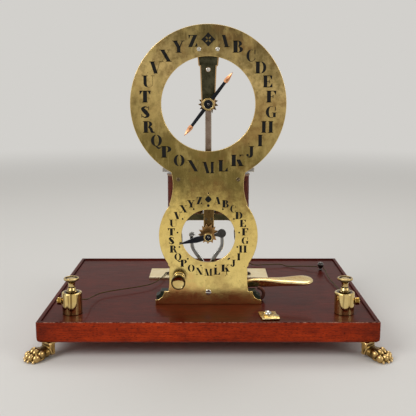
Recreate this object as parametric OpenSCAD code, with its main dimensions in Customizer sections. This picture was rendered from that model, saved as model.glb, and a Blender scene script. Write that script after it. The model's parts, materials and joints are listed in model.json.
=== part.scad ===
// Dial telegraph: a brass face plate with a receiving dial above and a sending dial below,
// standing on a mahogany board with four paw feet and a binding post at each front corner.
// Millimetres, +X to the right, +Y to the back, +Z up, origin on the ground under the board's centre.

/* [Board] */
// Width of the board, left to right
board_w = 350; // [330:1:420]
// Depth of the board, front to back
board_d = 266; // [250:1:320]
// Thickness of the board
board_t = 21; // [18:0.5:30]
// Width of the raised rim round the top
rim_w = 4; // [3:0.5:8]
// Height of the raised rim
rim_h = 1.6; // [1:0.2:3]
// Radius of the board's rounded lower edges
edge_r = 3; // [1:0.5:5]
// Height of the paw feet
foot_h = 17; // [15:0.5:24]

/* [Face plate] */
// Distance of the plate's front face ahead of the board's centre
plate_ahead = 70; // [60:1:85]
// Thickness of the plate
plate_t = 2.5; // [2:0.1:4]
// Height of the lower dial's centre above the board
low_h = 77; // [76:1:90]
// Height of the upper dial's centre above the lower one
dial_rise = 141.3; // [138:0.1:160]
// Outer radius of the upper dial
ring_r = 82; // [78:0.5:90]
// Radius of the hole in the upper dial
ring_hole_r = 49.4; // [46:0.1:56]
// Outer radius of the lower dial
body_r = 53.5; // [52:0.5:58]
// Radius of the hole in the lower dial
body_hole_r = 29.1; // [26:0.1:32]
// Width of the waist at its narrowest
waist_w = 75.6; // [72:0.1:82]
// Radius of the waist's hollow sides
waist_r = 55; // [45:1:80]
// Width of the plate's foot
foot_w = 116.4; // [108:0.1:130]
// Height of the foot's upright edge
foot_edge_h = 5.3; // [3:0.1:7]
// Radius of the foot's cove
cove_r = 9.6; // [7:0.1:11]
// Width of the pedestal at its foot
pedestal_w = 89.4; // [86:0.1:94]
// Width of the pedestal under the lower dial
neck_w = 84.4; // [78:0.1:86]

/* [Upper dial] */
// Space between the plate's back and the cock
cock_gap = 7.5; // [6:0.5:10]
// Thickness of the two cocks
cock_t = 3; // [2:0.5:4]
// Width of the upper cock where it leaves its head
cock_w = 17.7; // [16:0.1:20]
// Width of the upper cock at the arbor
cock_end_w = 14.5; // [12:0.1:16]
// Length of the upper cock's bush
bush_l = 4; // [3:0.5:6]
// Tip radius of the upper ratchet wheel
up_wheel_r = 11; // [9:0.5:12]
// Radius of the two-ended pointer
up_hand_r = 42; // [36:0.5:45]
// Length of each gilt pointer tip
tip_l = 13.3; // [10:0.1:16]
// Direction of the upper pointer, clockwise from the top
up_hand_a = 37.6; // [0:0.1:360]

/* [Lower dial] */
// Tip radius of the lower ratchet wheel
low_wheel_r = 11.3; // [9:0.1:12]
// Teeth of each ratchet wheel, half the number of letters
teeth = 13; // [11:1:15]
// Thickness of the ratchet wheels
wheel_t = 3; // [2:0.5:4]
// Radius of the lower pointer
low_hand_r = 32.6; // [28:0.1:38]
// Direction of the lower pointer, clockwise from the top
low_hand_a = 255.6; // [0:0.1:360]
// Radius of the dial arbors
arbor_r = 1.6; // [1.2:0.1:2]

/* [Electromagnet] */
// Radius of the coils' cheeks
coil_r = 20; // [18:0.5:21]
// Half the distance between the coils' axes
coil_x = 25.7; // [25:0.1:28]
// Distance of the coils' axes behind the plate's back
coil_back = 25.5; // [25:0.5:32]
// Height of the coils
coil_h = 43.6; // [36:0.2:46]
// Height of the shelf's underside above the lower arbor
shelf_up = 13.8; // [12.5:0.1:20]
// Thickness of the shelf, the yoke and the bracket's plate
shelf_t = 4; // [3:0.5:5]
// Length of the armature bar
bar_w = 100.8; // [96:0.2:110]
// Height of the armature bar
bar_h = 5; // [4:0.5:7]
// Travel of the armature
arm_travel = 1.2; // [0.8:0.1:1.4]
// Turns shown on each winding
loops = 14; // [10:1:14]
// Radius of the winding's cord
cord_r = 0.95; // [0.7:0.05:0.95]

/* [Hand lever] */
// Height of the rocker's pivot above the board
pivot_h = 36; // [34:0.5:37]
// Reach of the hand lever from the pivot
lever_x = 117; // [105:1:130]
// Width of the lever's paddle
paddle_w = 22; // [18:0.5:26]
// Thickness of the lever's bar
lever_t = 4; // [3:0.5:5]
// Downward swing of the hand lever, degrees
lever_swing = 7.5; // [5:0.5:7.5]

/* [Reset button] */
// Sideways place of the button, left of the centre
button_x = 32; // [28:0.5:34]
// Height of the button above the board
button_h = 30.4; // [26:0.1:34]
// Radius of the button's face
button_r = 7.7; // [6.5:0.1:8.5]
// Reach of the button's face ahead of the plate
button_l = 21; // [18:0.5:25]
// Travel of the button
button_travel = 4; // [3:0.5:5]

/* [Binding posts] */
// Radius of the posts
post_r = 10.5; // [9:0.5:12]
// Height of the posts' bodies
post_h = 28; // [24:0.5:32]
// Distance of the posts in from the board's ends
post_in = 31; // [26:0.5:36]
// Distance of the posts in from the board's front edge
post_back = 34.5; // [28:0.5:40]
// Radius of the thumbscrew heads
thumb_r = 8.75; // [7.5:0.25:10]

/* [Bed plate and catch] */
// Width of the bed plate behind the dial
bed_w = 148; // [130:1:160]
// Depth of the bed plate
bed_d = 42; // [36:1:50]
// Distance of the bed plate's front edge behind the board's centre
bed_back = 34; // [28:1:40]
// Thickness of the bed plate
bed_t = 2.3; // [1.5:0.1:3]
// Length of the turning catch
catch_l = 27; // [24:1:34]
// Width of the turning catch
catch_w = 18; // [14:1:22]

/* [Hidden] */
$fn = 64;
// radial clearance of pins, screws and shafts
fit = 0.05;
// running clearance between moving pieces
gap = 0.4;

// levels
deck = foot_h + board_t;
low_z = deck + low_h;
up_z = low_z + dial_rise;
pivot_z = deck + pivot_h;
ledge_z = deck + foot_edge_h + cove_r;
shelf_z = low_z + shelf_up;
yoke_z = shelf_z + shelf_t;
coil_z = yoke_z + shelf_t;
core_top = coil_z + coil_h + 0.6;
bar_z = core_top + arm_travel + gap;

// depths behind the plate
front_y = -plate_ahead;
back_y = front_y + plate_t;
cock_y = back_y + cock_gap;
bush_y = cock_y + cock_t;
stem_y = bush_y + bush_l + 0.5;
stem_t = 2.5;
up_wheel_y = stem_y + stem_t + 0.5;
lug_t = 3;
anchor_y = back_y + lug_t + 1.1;
anchor_t = 2.2;
low_wheel_y = anchor_y + anchor_t + 1.7;
low_bush_l = 2;
low_cock_y = low_wheel_y + wheel_t + 0.5 + low_bush_l;
lip_y = low_cock_y + cock_t;
block_d = 12;
lever_y = back_y + block_d + 0.5;
rest_y = lever_y + lever_t + 5;
rest_t = 4;
coil_y = back_y + coil_back;
flange_t = 3;

// fasteners: head radius, head height, shank radius
plate_screw = [2.2, 0.9, 1.3];
wood_screw = [3.4, 2, 1.7];
bed_screw = [3.7, 3.2, 1.8];

// plate screws on the dial: two above, two at the waist, one in the foot
top_screw = [9.7, up_z + ring_hole_r + 7.1];
waist_screw = [waist_w / 2 - 5.8, up_z - ring_r + 2.6];
foot_screw_z = ledge_z - 0.4;

// rocker
rocker_r = 1.5;
hub_r = 4.5;
pallet = [14.5, low_z + 1.9];
pallet_r = 4.9;
pin_r = 0.8;
// sideways swing of the pallets over the lever's travel, and the driving pins just clear of the wheel
pin_swing = (low_z - pivot_z) * sin(lever_swing);
right_pin = low_wheel_r + gap + pin_r;
left_pin = right_pin + pin_swing;
hook = [-left_pin - 0.6, low_z + 0.3];

// coil
cheek_t = 2.2;
core_r = 6;
helix_r = coil_r - 0.65 - cord_r;
steps = 24;
guide_r = 2;
spring_r = 3.4;
spring_wire = 0.5;
curls = 8;

// board fittings
bed_screw_x = 50;
bed_screw_y = bed_back + 14;
bed_top = deck + bed_t;
post_x = board_w / 2 - post_in;
post_ahead = board_d / 2 - post_back;
pin_x = board_w / 2 - 29;
pin_y = board_d / 2 - 57;
// the catch's corners pass just inside the rim
catch_behind = 6;
catch_reach = norm([catch_w / 2, catch_l - catch_behind]);
catch_pos = [62.4, rim_w + catch_reach + 0.65 - board_d / 2];
catch_a = 5;
wire_r = 0.6;
clamp_z = deck + 13;

// wire routes, chosen by hand, each point a step from the fitting that it belongs to
function from(p, steps) = [for (d = steps) p + d];
left_post = [-post_x, -post_ahead, deck];
right_post = [post_x, -post_ahead, deck];
left_screw = [-bed_screw_x, bed_screw_y, deck];
wire_turn = [pin_x, pin_y, deck];
bed_corner = [bed_w / 2, bed_back + bed_d, deck];
left_tail = [-coil_x, coil_y, coil_z];
right_tail = [coil_x, coil_y, coil_z];
left_route = concat(
    from(left_post, [[8, 4.1, 13], [16, 14.5, 9], [12, 38.5, 5], [19, 64.5, 4], [37, 70.5, 4]]),
    from(left_screw, [[-37, -65, 4], [-20, -52, 4], [-11, -34, 4], [-6, -12, 4], [-4.4, -1, 4]]));
left_coil_route = concat(
    from(left_screw, [[4, 2, 4], [10, 6, 9], [16, -8, 32]]),
    from(left_tail, [[-6.3, 50, -36.8], [-10.3, 26, -10.8], [-11.3, 20, 3.2], [-7.3, 19, 9.2]]));
right_route = concat(
    from(right_post, [[1, 8.5, 13], [3, 18.5, 11], [6, 38.5, 6], [9, 64.5, 3]]),
    from(wire_turn, [[7, -90, 2], [5, -68, 2], [3, -42, 3], [1, -16, 4], [0.4, -4.4, 5]]));
right_coil_route = concat(
    from(wire_turn, [[-4, 1, 4.4], [-23, 9, 3], [-41, 16, 1]]),
    from(bed_corner, [[21, 19, 3], [2, 17, 3], [-17, 20, 3], [-34, 8, 22]]),
    from(right_tail, [[6.3, 82, -40.8], [10.3, 36, -10.8], [11.3, 22, 3.2], [7.3, 19, 9.2]]));

// a drawing in x and z, stood up between y and y + t
module upright(y, t) {
    translate([0, y + t, 0])
        rotate([90, 0, 0])
            linear_extrude(t)
                children();
}

// a drawing in y and z, extruded across x from -w/2 to w/2
module across(w) {
    rotate([90, 0, 90])
        translate([0, 0, -w / 2])
            linear_extrude(w)
                children();
}

// a round bar along y
module shaft(x, z, y0, y1, r) {
    translate([x, y0, z])
        rotate([-90, 0, 0])
            cylinder(r = r, h = y1 - y0);
}

// a slotted screw with its head above z = 0 and its shank below
module screw(s, l) {
    difference() {
        union() {
            cylinder(r = s[0], h = s[1]);
            translate([0, 0, -l])
                cylinder(r = s[2], h = l + 0.1);
        }
        translate([-s[0] - 1, -0.35, s[1] * 0.45])
            cube([2 * s[0] + 2, 0.7, s[1]]);
    }
}

// the hole for such a screw's shank
module screw_hole(s, l) {
    translate([0, 0, -l - 0.2])
        cylinder(r = s[2] + fit, h = l + 0.4);
}

// a domed head of radius r and height h
module dome(r, h) {
    ball = (r * r + h * h) / (2 * h);
    intersection() {
        translate([0, 0, h - ball])
            sphere(ball);
        cylinder(r = r + 1, h = h);
    }
}

function unit(v) = v / norm(v);
function along(p, i) = unit(p[min(i + 1, len(p) - 1)] - p[max(i - 1, 0)]);
function square_to(v, t) = unit(v - (v * t) * t);
function bow(a, b, c, d, t) = (2 * b + (c - a) * t + (2 * a - 5 * b + 4 * c - d) * t * t
    + (3 * b - a - 3 * c + d) * t * t * t) / 2;
// a smooth path through the route points p, in m steps from each to the next
function smooth(p, m) = [for (i = [0:len(p) - 2], k = [0:m - 1])
    bow(p[max(i - 1, 0)], p[i], p[i + 1], p[min(i + 2, len(p) - 1)], k / m), p[len(p) - 1]];
// a helix that starts and ends with an upright lead
function helix(r, z0, z1, turns, n, lead) = concat([[r, 0, z0]],
    [for (i = [0:turns * n]) [r * cos(360 * i / n), r * sin(360 * i / n),
        z0 + lead + (z1 - z0 - 2 * lead) * i / (turns * n)]],
    [[r, 0, z1]]);
// least clear distance between neighbouring turns
function turn_gap(p, n, r) = min([for (i = [1:len(p) - 2 - n]) norm(p[i + n] - p[i])]) - 2 * r;

// a tube of radius r along the path; ref is a side direction, or the way out from z when not given
module tube(path, r, sides, ref) {
    n = len(path);
    pts = [for (i = [0:n - 1])
        let (t = along(path, i),
            a = square_to(is_undef(ref) ? [path[i][0], path[i][1], 0] : ref, t),
            b = cross(t, a))
        for (j = [0:sides - 1])
            path[i] + r * (cos(360 * j / sides) * a + sin(360 * j / sides) * b)];
    walls = [for (i = [0:n - 2], j = [0:sides - 1])
        let (k = (j + 1) % sides, p = i * sides, q = p + sides)
        each [[p + j, q + k, p + k], [p + j, q + j, q + k]]];
    e = (n - 1) * sides;
    caps = [for (j = [1:sides - 2]) each [[0, j, j + 1], [e, e + j + 1, e + j]]];
    polyhedron(pts, concat(walls, caps));
}

// a curved flat strip: cubic through four points, width w0 at the start and w1 at the end
module strip(p, w0, w1) {
    line = smooth(p, 6);
    n = len(line);
    edge = [for (s = [-1, 1])
        [for (i = [0:n - 1])
            let (t = along(line, i), w = w0 + (w1 - w0) * i / (n - 1))
            line[i] + s * w / 2 * [-t[1], t[0]]]];
    polygon(concat(edge[0], [for (i = [n - 1:-1:0]) edge[1][i]]));
}

// a ratchet wheel of radius r in x and z
module ratchet_2d(r, z) {
    step = 360 / teeth;
    root = r * 0.7;
    translate([0, z])
        difference() {
            polygon([for (i = [0:teeth - 1]) each [
                root * [sin(i * step), cos(i * step)],
                r * [sin((i + 0.62) * step), cos((i + 0.62) * step)]]]);
            circle(arbor_r + fit);
        }
}

// the board's cross-section, w wide
module board_2d(w) {
    lip = 0.8;
    lip_h = 6;
    translate([-w / 2, foot_h + board_t - lip_h])
        square([w, lip_h + rim_h]);
    translate([-w / 2 + lip, foot_h + edge_r])
        square([w - 2 * lip, board_t - edge_r]);
    translate([-w / 2 + lip + edge_r, foot_h])
        square([w - 2 * lip - 2 * edge_r, board_t]);
    for (s = [-1, 1])
        translate([s * (w / 2 - lip - edge_r), foot_h + edge_r])
            circle(edge_r);
}

// places where wood screws rise from below: paw flanges, then the foot block
paw_in = [13, 12];
flange_back = 11;
block_screw_x = 42;
paw_screw_h = 12;
function paw_at(s) = [s[0] * (board_w / 2 - paw_in[0]), s[1] * (board_d / 2 - paw_in[1])];
function flange_at(s) = paw_at(s) - flange_back * sqrt(0.5) * s;
corners = [[-1, -1], [1, -1], [-1, 1], [1, 1]];
block_y = back_y + block_d / 2;
paw_flange_t = 2.2;

// mahogany board with a raised rim and a fine groove inside it
module base_board() {
    groove = 1.2;
    inner = [board_w - 2 * rim_w, board_d - 2 * rim_w];
    color("#6e2a1c")
        difference() {
            intersection() {
                across(board_w + 2)
                    board_2d(board_d);
                upright(-board_d / 2 - 1, board_d + 2)
                    board_2d(board_w);
            }
            translate([-inner[0] / 2, -inner[1] / 2, deck])
                cube([inner[0], inner[1], rim_h + 1]);
            difference() {
                translate([-inner[0] / 2, -inner[1] / 2, deck - 0.8])
                    cube([inner[0], inner[1], 2]);
                translate([-inner[0] / 2 + groove, -inner[1] / 2 + groove, deck - 1])
                    cube([inner[0] - 2 * groove, inner[1] - 2 * groove, 4]);
            }
            for (s = corners)
                translate([flange_at(s)[0], flange_at(s)[1], foot_h])
                    cylinder(r = wood_screw[2] + fit, h = paw_screw_h + 0.2);
            for (s = [-1, 1]) {
                translate([s * block_screw_x, block_y, foot_h - 1])
                    cylinder(r = wood_screw[2] + fit, h = board_t + 2);
                translate([s * block_screw_x, block_y, foot_h - 1])
                    cylinder(r = wood_screw[0] + 0.3, h = wood_screw[1] + 1.5);
                translate([s * post_x, -post_ahead, deck - stud_l - 0.2])
                    cylinder(r = stud_r + fit, h = stud_l + 1);
                translate([s * bed_screw_x, bed_screw_y, deck - bed_screw_l])
                    cylinder(r = bed_screw[2] + fit, h = bed_screw_l + 1);
            }
            for (p = deck_screw_at)
                translate([p[0], p[1], deck - deck_screw_l])
                    cylinder(r = plate_screw[2] + fit, h = deck_screw_l + 1);
            translate([pin_x, pin_y, deck - pin_l])
                cylinder(r = 1 + fit, h = pin_l + 1);
            translate([catch_pos[0], catch_pos[1], deck - pin_l])
                cylinder(r = plate_screw[2] + fit, h = pin_l + 1);
        }
}

stud_r = 2.5;
stud_l = 12;
bed_screw_l = 9;
deck_screw_l = 8;
pin_l = 8;
sole_t = 2.5;
spring_foot = [46, 14];
// small round-head screws into the board: the rear pivot's sole, then the leaf spring
deck_screw_at = [[-12, rest_y + rest_t + 4], [12, rest_y + rest_t + 4],
    [spring_foot[0] + 4, lever_y + lever_t / 2]];

// gilt lion's paw: an upright leg with a flange, a body and four jointed toes with claws
module paw(s) {
    drawn_h = 17;
    leg_w = 11;
    toe_gap = 5.4;
    color("#a9854a")
        translate([paw_at(s)[0], paw_at(s)[1], 0])
            rotate(atan2(s[1], s[0]))
                difference() {
                    union() {
                        translate([-flange_back - 6, -7, foot_h - paw_flange_t])
                            cube([flange_back + 10, 14, paw_flange_t]);
                        scale(foot_h / drawn_h) {
                            hull() {
                                translate([-5, -leg_w / 2, drawn_h - 1])
                                    cube([7, leg_w, 1]);
                                translate([-4, -leg_w / 2, 8])
                                    cube([5, leg_w, 1]);
                            }
                            hull() {
                                translate([-4, -leg_w / 2, 7])
                                    cube([4, leg_w, 6]);
                                translate([9, 0, 7.6])
                                    sphere(6.6, $fn = 16);
                            }
                            hull()
                                for (v = [-1, 0, 1])
                                    translate([v == 0 ? 8 : 17, v * 4.6, v == 0 ? 8.4 : 6])
                                        sphere(v == 0 ? 6.6 : 5.6, $fn = 16);
                            hull()
                                for (v = [-1, 1])
                                    translate([19, v * 5, 0])
                                        cylinder(r = 5, h = 3, $fn = 20);
                            for (i = [-1.5:1:1.5]) {
                                spread = abs(i) > 1 ? 2.4 : 0;
                                hull() {
                                    translate([14 - spread, i * toe_gap * 0.86, 9.4 - spread * 0.6])
                                        sphere(3.5, $fn = 12);
                                    translate([22 - spread, i * toe_gap, 7.4 - spread * 0.4])
                                        sphere(3.3, $fn = 12);
                                }
                                hull() {
                                    translate([24 - spread, i * toe_gap * 1.02, 5.4])
                                        sphere(3, $fn = 12);
                                    translate([28.5 - spread, i * toe_gap * 1.04, 3.2])
                                        sphere(2.9, $fn = 12);
                                }
                                translate([29 - spread, i * toe_gap * 1.04, 4.2])
                                    rotate([0, 118, 0])
                                        cylinder(r1 = 1.7, r2 = 0.3, h = 6, $fn = 8);
                            }
                        }
                    }
                    translate([-3 * foot_h, -3 * foot_h, -foot_h])
                        cube([6 * foot_h, 6 * foot_h, foot_h]);
                    translate([-flange_back, 0, 0])
                        cylinder(r = wood_screw[2] + fit, h = foot_h + 1, $fn = 20);
                }
}

module paw_front_left() { paw(corners[0]); }
module paw_front_right() { paw(corners[1]); }
module paw_back_left() { paw(corners[2]); }
module paw_back_right() { paw(corners[3]); }

// wood screws from below: one in each paw's flange, two long ones up into the foot block
block_screw_up = 9;
module wood_screws() {
    color("#55504a") {
        for (s = corners)
            translate([flange_at(s)[0], flange_at(s)[1], foot_h - paw_flange_t])
                mirror([0, 0, 1])
                    screw(wood_screw, paw_flange_t + paw_screw_h);
        for (s = [-1, 1])
            translate([s * block_screw_x, block_y, foot_h + wood_screw[1] + 0.4])
                mirror([0, 0, 1])
                    screw(wood_screw, board_t - wood_screw[1] - 0.4 + block_screw_up);
    }
}

// the plate's outline: coved foot, pedestal, lower dial, hollow waist, upper dial
module plate_2d() {
    low_a = 37;
    top_a = 40;
    ring_a = 61;
    shoulder = [body_r * cos(low_a) + 1.7, low_z - body_r * sin(low_a)];
    waist_z0 = low_z + body_r * sin(top_a);
    waist_z1 = up_z - ring_r * sin(ring_a);
    waist_mid = waist_z0 + (waist_z1 - waist_z0) * 0.62;
    side_r = 90;
    difference() {
        translate([-foot_w / 2, deck])
            square([foot_w, foot_edge_h + cove_r]);
        for (s = [-1, 1])
            translate([s * foot_w / 2, ledge_z])
                circle(cove_r);
    }
    difference() {
        polygon([for (s = [1, -1]) each let (h = [
            [pedestal_w / 2, ledge_z - 1],
            [pedestal_w / 2, ledge_z],
            [neck_w / 2, shoulder[1] - 2.2],
            shoulder,
            [body_r * 0.6, low_z]]) [for (i = [0:4]) let (q = h[s > 0 ? i : 4 - i]) [s * q[0], q[1]]]]);
        for (s = [-1, 1])
            translate([s * (neck_w / 2 + side_r + 0.4), (ledge_z + shoulder[1]) / 2])
                circle(side_r);
    }
    translate([0, low_z])
        circle(body_r);
    difference() {
        translate([-body_r * 0.85, waist_z0])
            square([body_r * 1.7, waist_z1 - waist_z0 + 1]);
        for (s = [-1, 1])
            translate([s * (waist_w / 2 + waist_r), waist_mid])
                circle(waist_r);
    }
    translate([0, up_z])
        circle(ring_r);
}

module face_plate() {
    color("#b08d3c")
        upright(front_y, plate_t)
            difference() {
                plate_2d();
                translate([0, up_z])
                    circle(ring_hole_r);
                translate([0, low_z])
                    circle(body_hole_r);
                for (s = [-1, 1]) {
                    translate([s * top_screw[0], top_screw[1]])
                        circle(plate_screw[2] + fit);
                    translate([s * waist_screw[0], waist_screw[1]])
                        circle(plate_screw[2] + fit);
                }
                translate([0, foot_screw_z])
                    circle(plate_screw[2] + fit);
                translate([-button_x, deck + button_h])
                    circle(button_shank_r + fit);
                translate([0, low_z + body_r - 6.5])
                    circle(0.8);
            }
}

// holes behind the plate for its own screws
plate_screw_l = 7;
plate_screw_at = [[-top_screw[0], top_screw[1]], top_screw, [-waist_screw[0], waist_screw[1]], waist_screw,
    [0, foot_screw_z]];
module plate_screw_bores() {
    for (p = plate_screw_at)
        shaft(p[0], p[1], back_y - 1, back_y + plate_screw_l, plate_screw[2] + fit);
}

module plate_screws() {
    color("#c9c4b8")
        for (i = [0:4])
            translate([plate_screw_at[i][0], front_y, plate_screw_at[i][1]])
                rotate([90, 25 + 40 * i, 0])
                    screw(plate_screw, plate_t + (i == 2 || i == 3 ? flange_t - 0.2 : plate_screw_l - 1.2));
}

// blackened foot block behind the plate, with the lug that carries the rocker's front pivot
module foot_block() {
    block_w = foot_w - 1.4;
    corner = 5;
    lug_w = 15;
    color("#2f2b22")
        difference() {
            union() {
                upright(back_y, block_d)
                    difference() {
                        translate([-block_w / 2, deck])
                            square([block_w, ledge_z - deck]);
                        for (s = [-1, 1])
                            translate([s * block_w / 2, ledge_z])
                                circle(corner);
                    }
                upright(back_y, lug_t) {
                    translate([-lug_w / 2, deck])
                        square([lug_w, pivot_z - deck]);
                    translate([0, pivot_z])
                        circle(hub_r);
                }
                upright(back_y, block_d)
                    translate([-lug_w / 2, ledge_z - 1])
                        square([lug_w, 4]);
            }
            shaft(0, pivot_z, back_y - 1, back_y + lug_t + 1, rocker_r + fit);
            plate_screw_bores();
            for (s = [-1, 1])
                translate([s * block_screw_x, block_y, deck - 1])
                    cylinder(r = wood_screw[2] + fit, h = block_screw_up + 1.2);
        }
}

// patinated brass cock with a shouldered head on a boss, a tapering strip and a bushed arbor hole
head_w = 22.6;
module upper_cock() {
    hidden_w = 28;
    head_z = up_z + ring_hole_r;
    step_z = up_z + ring_hole_r - 10.2;
    boss_z = head_z + 1.8;
    top_z = top_screw[1] + 7;
    color("#4d4732")
        difference() {
            union() {
                upright(cock_y, cock_t)
                    polygon([for (s = [1, -1]) each let (h = [
                        [hidden_w / 2, top_z],
                        [hidden_w / 2, boss_z],
                        [head_w / 2, head_z],
                        [head_w / 2 - 0.95, step_z],
                        [cock_w / 2, step_z],
                        [cock_end_w / 2, up_z]])
                            [for (i = [0:5]) let (q = h[s > 0 ? i : 5 - i]) [s * q[0], q[1]]]]);
                shaft(0, up_z, cock_y, cock_y + cock_t, cock_end_w / 2);
                shaft(0, up_z, cock_y, bush_y + bush_l, 4.5);
                upright(back_y, cock_gap + 0.1)
                    translate([-hidden_w / 2, boss_z])
                        square([hidden_w, top_z - boss_z]);
            }
            shaft(0, up_z, cock_y - 1, bush_y + bush_l + 1, arbor_r + fit);
            plate_screw_bores();
            shaft(0, guide_z, cock_y - 1, bush_y + 1, plate_screw[2] + fit);
        }
}

// keeper behind the cock in which the armature's stem slides
guide_z = up_z + 36;
guide_h = 14;
stem_w = 7;
module stem_guide() {
    wall = 3;
    rear = 2;
    color("#8a6f33")
        difference() {
            translate([-stem_w / 2 - wall, bush_y, guide_z - guide_h / 2])
                cube([stem_w + 2 * wall, stem_y + stem_t + gap + rear - bush_y, guide_h]);
            translate([-stem_w / 2 - gap, stem_y - gap, guide_z - guide_h])
                cube([stem_w + 2 * gap, stem_t + 2 * gap, 2 * guide_h]);
            shaft(0, guide_z, bush_y - 1, stem_y - gap - 0.4, plate_screw[2] + fit);
        }
}

// screws of the keeper and of the lower cock, each with its head to the front
low_screw_z = shelf_z + shelf_t / 2;
low_screw_x = 3;
module cock_screws() {
    color("#c9c4b8") {
        translate([0, cock_y, guide_z])
            rotate([90, 100, 0])
                screw(plate_screw, cock_t + bush_l - 0.8);
        for (s = [-1, 1])
            translate([low_cock_x + s * low_screw_x, low_cock_y, low_screw_z])
                rotate([90, 40 * s, 0])
                    screw([1.6, 0.8, 0.9], cock_t + 2.4);
    }
}

// brass bracket: flange on the plate's back, cut round the dial hole, with the shelf for the coils
bracket_w = 92;
module magnet_bracket() {
    flange_w = waist_w - 4;
    top_z = waist_screw[1] + 5;
    leg_z = low_z + body_r * 0.53;
    cut_w = 60;
    depth = coil_y + coil_r - back_y;
    color("#4d4732")
        difference() {
            union() {
                upright(back_y, flange_t)
                    difference() {
                        union() {
                            translate([-flange_w / 2, leg_z - 1])
                                square([flange_w, top_z - leg_z + 1]);
                            translate([-bracket_w / 2 + 2, shelf_z])
                                square([bracket_w - 4, leg_z - shelf_z]);
                        }
                        translate([0, low_z])
                            circle(body_hole_r + 1.9);
                    }
                difference() {
                    translate([-bracket_w / 2 + 2, back_y, shelf_z])
                        cube([bracket_w - 4, depth, shelf_t]);
                    translate([-cut_w / 2, back_y - 1, shelf_z - 1])
                        cube([cut_w, lip_y - back_y + 1, shelf_t + 2]);
                }
                translate([-cut_w / 2, lip_y, shelf_z])
                    cube([cut_w, 3, shelf_t + shelf_t - 0.5]);
            }
            plate_screw_bores();
            for (s = [-1, 1]) {
                translate([s * coil_x, coil_y, shelf_z - 1])
                    cylinder(r = wood_screw[2] + fit, h = shelf_t + 2);
                translate([s * stay_x, stay_y, shelf_z - 1])
                    cylinder(r = tenon_r + fit, h = shelf_t + 2);
                shaft(low_cock_x + s * low_screw_x, low_screw_z, lip_y - 1, lip_y + 3.2, 0.9 + fit);
            }
        }
}

// soft-iron yoke on the shelf, joining the two cores
yoke_d = 12;
module yoke() {
    color("#77787a")
        difference() {
            translate([-coil_x - core_r - 3, coil_y - yoke_d / 2, yoke_z])
                cube([2 * (coil_x + core_r + 3), yoke_d, shelf_t]);
            for (s = [-1, 1])
                translate([s * coil_x, coil_y, yoke_z - 1])
                    cylinder(r = wood_screw[2] + fit, h = shelf_t + 2);
            translate([0, coil_y, yoke_z - 1])
                cylinder(r = guide_r - 0.5 + fit, h = shelf_t + 2);
        }
}

core_screw_up = 8;
module magnet_cores() {
    color("#77787a")
        for (s = [-1, 1])
            translate([s * coil_x, coil_y, 0])
                difference() {
                    translate([0, 0, coil_z])
                        cylinder(r = core_r, h = core_top - coil_z);
                    translate([0, 0, coil_z - 1])
                        cylinder(r = wood_screw[2] + fit, h = core_screw_up + 1.2);
                }
}

module magnet_screws() {
    color("#55504a")
        for (s = [-1, 1])
            translate([s * coil_x, coil_y, shelf_z])
                mirror([0, 0, 1])
                    screw(wood_screw, 2 * shelf_t + core_screw_up);
}

// turned bobbin: two cheeks on a thin sleeve round the core
sleeve_t = 1.2;
module bobbin(s) {
    color("#9a5a2a")
        translate([s * coil_x, coil_y, coil_z])
            difference() {
                union() {
                    for (z = [0, coil_h - cheek_t])
                        translate([0, 0, z])
                            cylinder(r = coil_r, h = cheek_t);
                    cylinder(r = core_r + fit + sleeve_t, h = coil_h);
                }
                translate([0, 0, -1])
                    cylinder(r = core_r + fit, h = coil_h + 2);
            }
}

module bobbin_left() { bobbin(-1); }
module bobbin_right() { bobbin(1); }

// silk-covered winding: a plain core with one outer layer of turns
wind_z0 = coil_z + cheek_t;
wind_z1 = coil_z + coil_h - cheek_t;
wind_path = helix(helix_r, wind_z0, wind_z1, loops, steps, 2 * cord_r);
module winding(s) {
    color("#4a1f16")
        translate([s * coil_x, coil_y, 0])
            mirror([s < 0 ? 1 : 0, 0, 0]) {
                translate([0, 0, wind_z0])
                    difference() {
                        cylinder(r = helix_r - cord_r - 0.25, h = wind_z1 - wind_z0);
                        translate([0, 0, -1])
                            cylinder(r = core_r + 2 * fit + sleeve_t, h = wind_z1 - wind_z0 + 2);
                    }
                tube(wind_path, cord_r, 6);
            }
}

module winding_left() { winding(-1); }
module winding_right() { winding(1); }
echo(winding_gap = turn_gap(wind_path, steps, cord_r));

// brass pin that guides the armature bar between the coils, with its lifting spring
module armature_guide() {
    color("#b08d3c")
        translate([0, coil_y, 0]) {
            translate([0, 0, yoke_z])
                cylinder(r = guide_r - 0.5, h = shelf_t + 0.1);
            translate([0, 0, coil_z])
                cylinder(r = guide_r, h = bar_z + bar_h + 5 - coil_z);
        }
}

spring_path = helix(spring_r, coil_z, bar_z, curls, 8, 2 * spring_wire);
module armature_spring() {
    color("#8d8f92")
        translate([0, coil_y, 0])
            tube(spring_path, spring_wire, 6);
}
echo(spring_gap = turn_gap(spring_path, 8, spring_wire));

// lower cock: a strip hanging from the shelf behind the sending wheel
low_cock_x = 0.5;
low_cock_w = 11.4;
module lower_cock() {
    color("#5d4a26")
        difference() {
            union() {
                upright(low_cock_y, cock_t) {
                    translate([low_cock_x - low_cock_w / 2, low_z])
                        square([low_cock_w, shelf_z + shelf_t + 12 - low_z]);
                    translate([low_cock_x, low_z])
                        circle(low_cock_w / 2);
                }
                shaft(0, low_z, low_cock_y - low_bush_l, low_cock_y + cock_t + 4, 3.6);
            }
            shaft(0, low_z, low_cock_y - low_bush_l - 1, low_cock_y + cock_t + 5, arbor_r + fit);
            for (s = [-1, 1])
                shaft(low_cock_x + s * low_screw_x, low_screw_z, low_cock_y - 1, lip_y + 1, 0.9 + fit);
        }
}

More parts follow.
